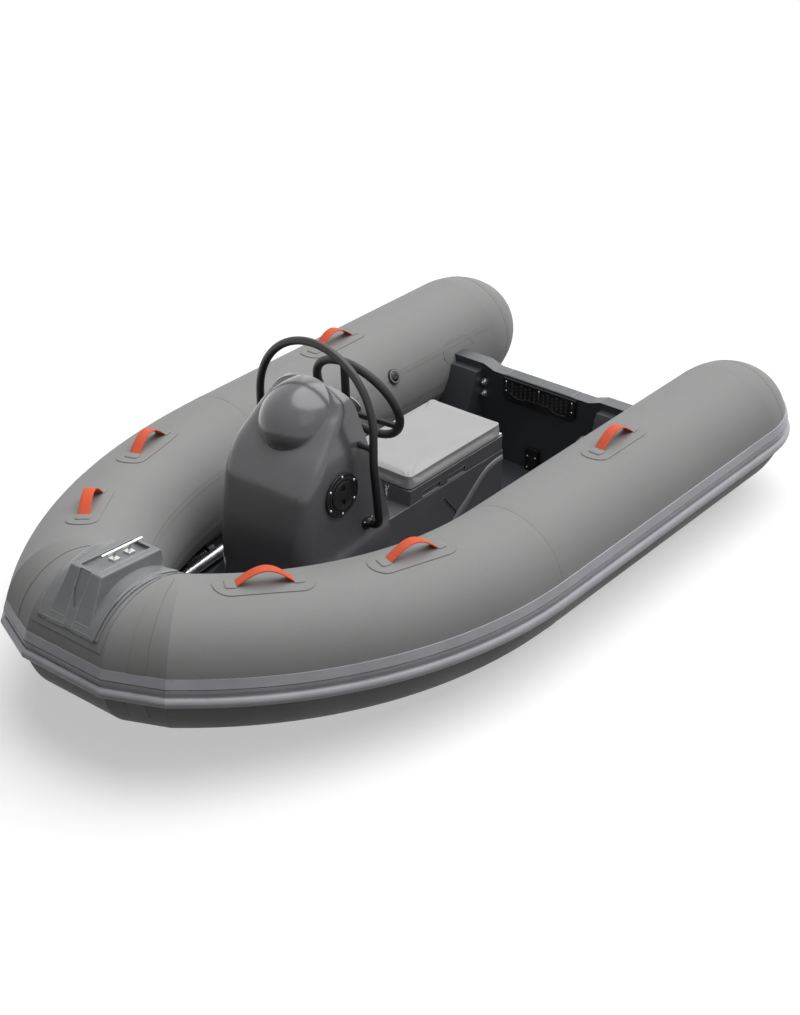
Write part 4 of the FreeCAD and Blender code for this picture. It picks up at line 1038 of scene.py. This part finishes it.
def deck_details():
    """Tread plates on the sole, with a pattern of raised bars."""
    tree = surface_of("deck")
    bm = bmesh.new()
    for y in (0.262, -0.262):
        for x, long in ((-0.66, 0.17), (-0.28, 0.17), (0.1, 0.17), (0.44, 0.13)):
            hit = tree.ray_cast(V(x, y, 0.09), -UP)[0]
            if hit is None:
                continue

            def place(u, v, lift):
                return V(x + u, y + v, hit.z + lift)

            plate(bm, place, rounded(long, 0.038, 0.018), -0.0004, 0.0016, 0.0012)
            for k in range(int(long / 0.012)):
                u = -long + 0.018 + k * 0.0235
                for j in (-1, 0, 1) if u < long - 0.01 else ():
                    turn = Matrix.Rotation(radians(45 if (k + j) % 2 else -45), 3, "Z")
                    block(bm, place(u, 0.021 * j, 0.002), (0.0075, 0.0014, 0.0008), turn)
    make_piece("deck_treads", bm, "black_plastic", 30)


def hull_details():
    """The keel's strip and two rails on each side of the bottom."""
    tree = surface_of("hull")
    bm = bmesh.new()
    for y in (0, 0.12, -0.12, 0.235, -0.235):
        points = []
        for x in between(-0.935, 0.72 if y else 0.98, 60):
            hit = tree.ray_cast(V(x, y * (1 - 0.28 * max(0, x) ** 2), -0.5), UP)[0]
            if hit is not None:
                points.append(hit)
        if len(points) > 2:
            pipe(bm, points, 0.0065 if y else 0.009)
    make_piece("hull_rails", bm, "hull_gelcoat", 60)


# The photograph's camera, solved from its outlines: angles in radians, focal length and height in pixels
camera_yaw, camera_pitch = 0.6789486, 0.5203044
camera_at = (4.141845, 3.434493, 3.295819)
photo_focal, photo_height = 1950.787, 1015
sensor_height = 36


def place_camera():
    toward = V(-cos(camera_yaw), -sin(camera_yaw), 0)
    right = V(-sin(camera_yaw), cos(camera_yaw), 0)
    ahead = toward * cos(camera_pitch) + V(0, 0, -sin(camera_pitch))
    up = right.cross(ahead)
    data = bpy.data.cameras.new("photo_camera")
    data.sensor_fit = "VERTICAL"
    data.sensor_height = sensor_height
    data.lens = photo_focal * sensor_height / photo_height
    data.clip_end = 200
    cam = placed("photo_camera", data)
    rows = [(right[i], up[i], -ahead[i], camera_at[i]) for i in range(3)]
    cam.matrix_world = Matrix(rows + [(0, 0, 0, 1)])
    scene.camera = cam


# Studio: the floor is the water plane, open where the hull goes through it
floor_margin = 0.006
world_lit, world_seen = 0.055, 1
sun_power, sun_size = 2.95, 70
lamp_aim = V(0, 0, 0.2)


def seen_ray(tree):
    """One for what the camera sees, also in a mirror or through glass, and nought for lighting."""
    path = tree.nodes.new("ShaderNodeLightPath")
    seen = path.outputs["Is Camera Ray"]
    for kind in ("Glossy", "Transmission"):
        larger = tree.nodes.new("ShaderNodeMath")
        larger.operation = "MAXIMUM"
        tree.links.new(seen, larger.inputs[0])
        tree.links.new(path.outputs["Is " + kind + " Ray"], larger.inputs[1])
        seen = larger.outputs[0]
    return seen


def mixed(tree, kind, lit, seen, target):
    """Gives a socket one value for lighting and another one for what is seen."""
    mix = tree.nodes.new("ShaderNodeMix")
    mix.data_type = kind
    tree.links.new(seen_ray(tree), mix.inputs["Factor"])
    mix.inputs["A"].default_value = lit
    mix.inputs["B"].default_value = seen
    tree.links.new(mix.outputs["Result"], target)


def waterline():
    """The hull's outline at z = 0, as half widths at even places along it, a margin wider."""
    mesh = nodes["hull"].data
    cuts = []
    for edge in mesh.edges:
        a, b = (mesh.vertices[i].co for i in edge.vertices)
        if (a.z > 0) != (b.z > 0):
            p = a.lerp(b, a.z / (a.z - b.z))
            cuts.append((p.x, abs(p.y)))
    low, high = min(cuts)[0], max(cuts)[0]
    count = 40
    outline = []
    for x in between(low, high, count):
        near = [c[1] for c in cuts if abs(c[0] - x) < (high - low) / count]
        if near:
            outline.append((x, max(near)))
    outline[0] = (low - floor_margin, outline[0][1])
    outline[-1] = (high + floor_margin, outline[-1][1])
    return [(x, y + floor_margin) for x, y in outline]


def make_floor():
    side = waterline()
    stern = [(side[0][0], side[0][1] * k / 6) for k in range(-5, 6)]
    ring = side + [(x, -y) for x, y in reversed(side)] + stern
    angles = [atan2(y, x) for x, y in ring]
    rows = [[(x, y, 0) for x, y in ring]]
    rows += [[(r * cos(a), r * sin(a), 0) for a in angles] for r in (3.5, 60)]
    bm = bmesh.new()
    skin(bm, rows, True, False)
    for face in bm.faces:
        face.normal_update()
        if face.normal.z < 0:
            face.normal_flip()
    mesh = bpy.data.meshes.new("floor")
    bm.to_mesh(mesh)
    bm.free()
    floor = placed("floor", mesh)
    mat = bpy.data.materials.new("floor")
    mat.use_nodes = True
    shader = mat.node_tree.nodes["Principled BSDF"]
    for key, value in (("Roughness", 0.9), ("Specular IOR Level", 0), ("Emission Strength", 1)):
        shader.inputs[key].default_value = value
    for key, lit, seen in (("Base Color", 0.03, 0.62), ("Emission Color", 0, 0.48)):
        mixed(mat.node_tree, "RGBA", (lit, lit, lit, 1), (seen, seen, seen, 1), shader.inputs[key])
    mesh.materials.append(mat)


def make_lights():
    world = bpy.data.worlds.new("studio")
    scene.world = world
    world.use_nodes = True
    back = world.node_tree.nodes["Background"]
    back.inputs["Color"].default_value = (1, 1, 1, 1)
    mixed(world.node_tree, "FLOAT", world_lit, world_seen, back.inputs["Strength"])
    sky = bpy.data.lights.new("overhead", "SUN")
    sky.energy = sun_power
    sky.angle = radians(sun_size)
    lamps = [(sky, (-3, 1.3, 8))]
    for name, at, size, power in (("key", (1.8, 4.2, 3.6), 3, 14), ("rear", (-4.5, -3, 3.2), 3, 22)):
        light = bpy.data.lights.new(name, "AREA")
        light.size = size
        light.energy = power
        lamps.append((light, at))
    for light, at in lamps:
        lamp = placed(light.name, light)
        lamp.location = at
        lamp.rotation_mode = "QUATERNION"
        lamp.rotation_quaternion = (lamp_aim - Vector(at)).to_track_quat("-Z", "Y")


tube_seams()
bow_details()
edge_details()
slot_filler()
hatch_details()
pad_details("motor_pad_inner", 1, AHEAD)
pad_details("motor_pad_outer", 0, ASTERN)
for build in (
    transom_details, seat_details, plinth_bands, transom_nuts, rail_details, wheel_details, dash_details,
    valve_details, oar_details, deck_details, hull_details, place_camera, make_floor, make_lights,
):
    build()
scene.view_settings.view_transform = "Standard"
scene.frame_set(1)
bpy.context.view_layer.update()
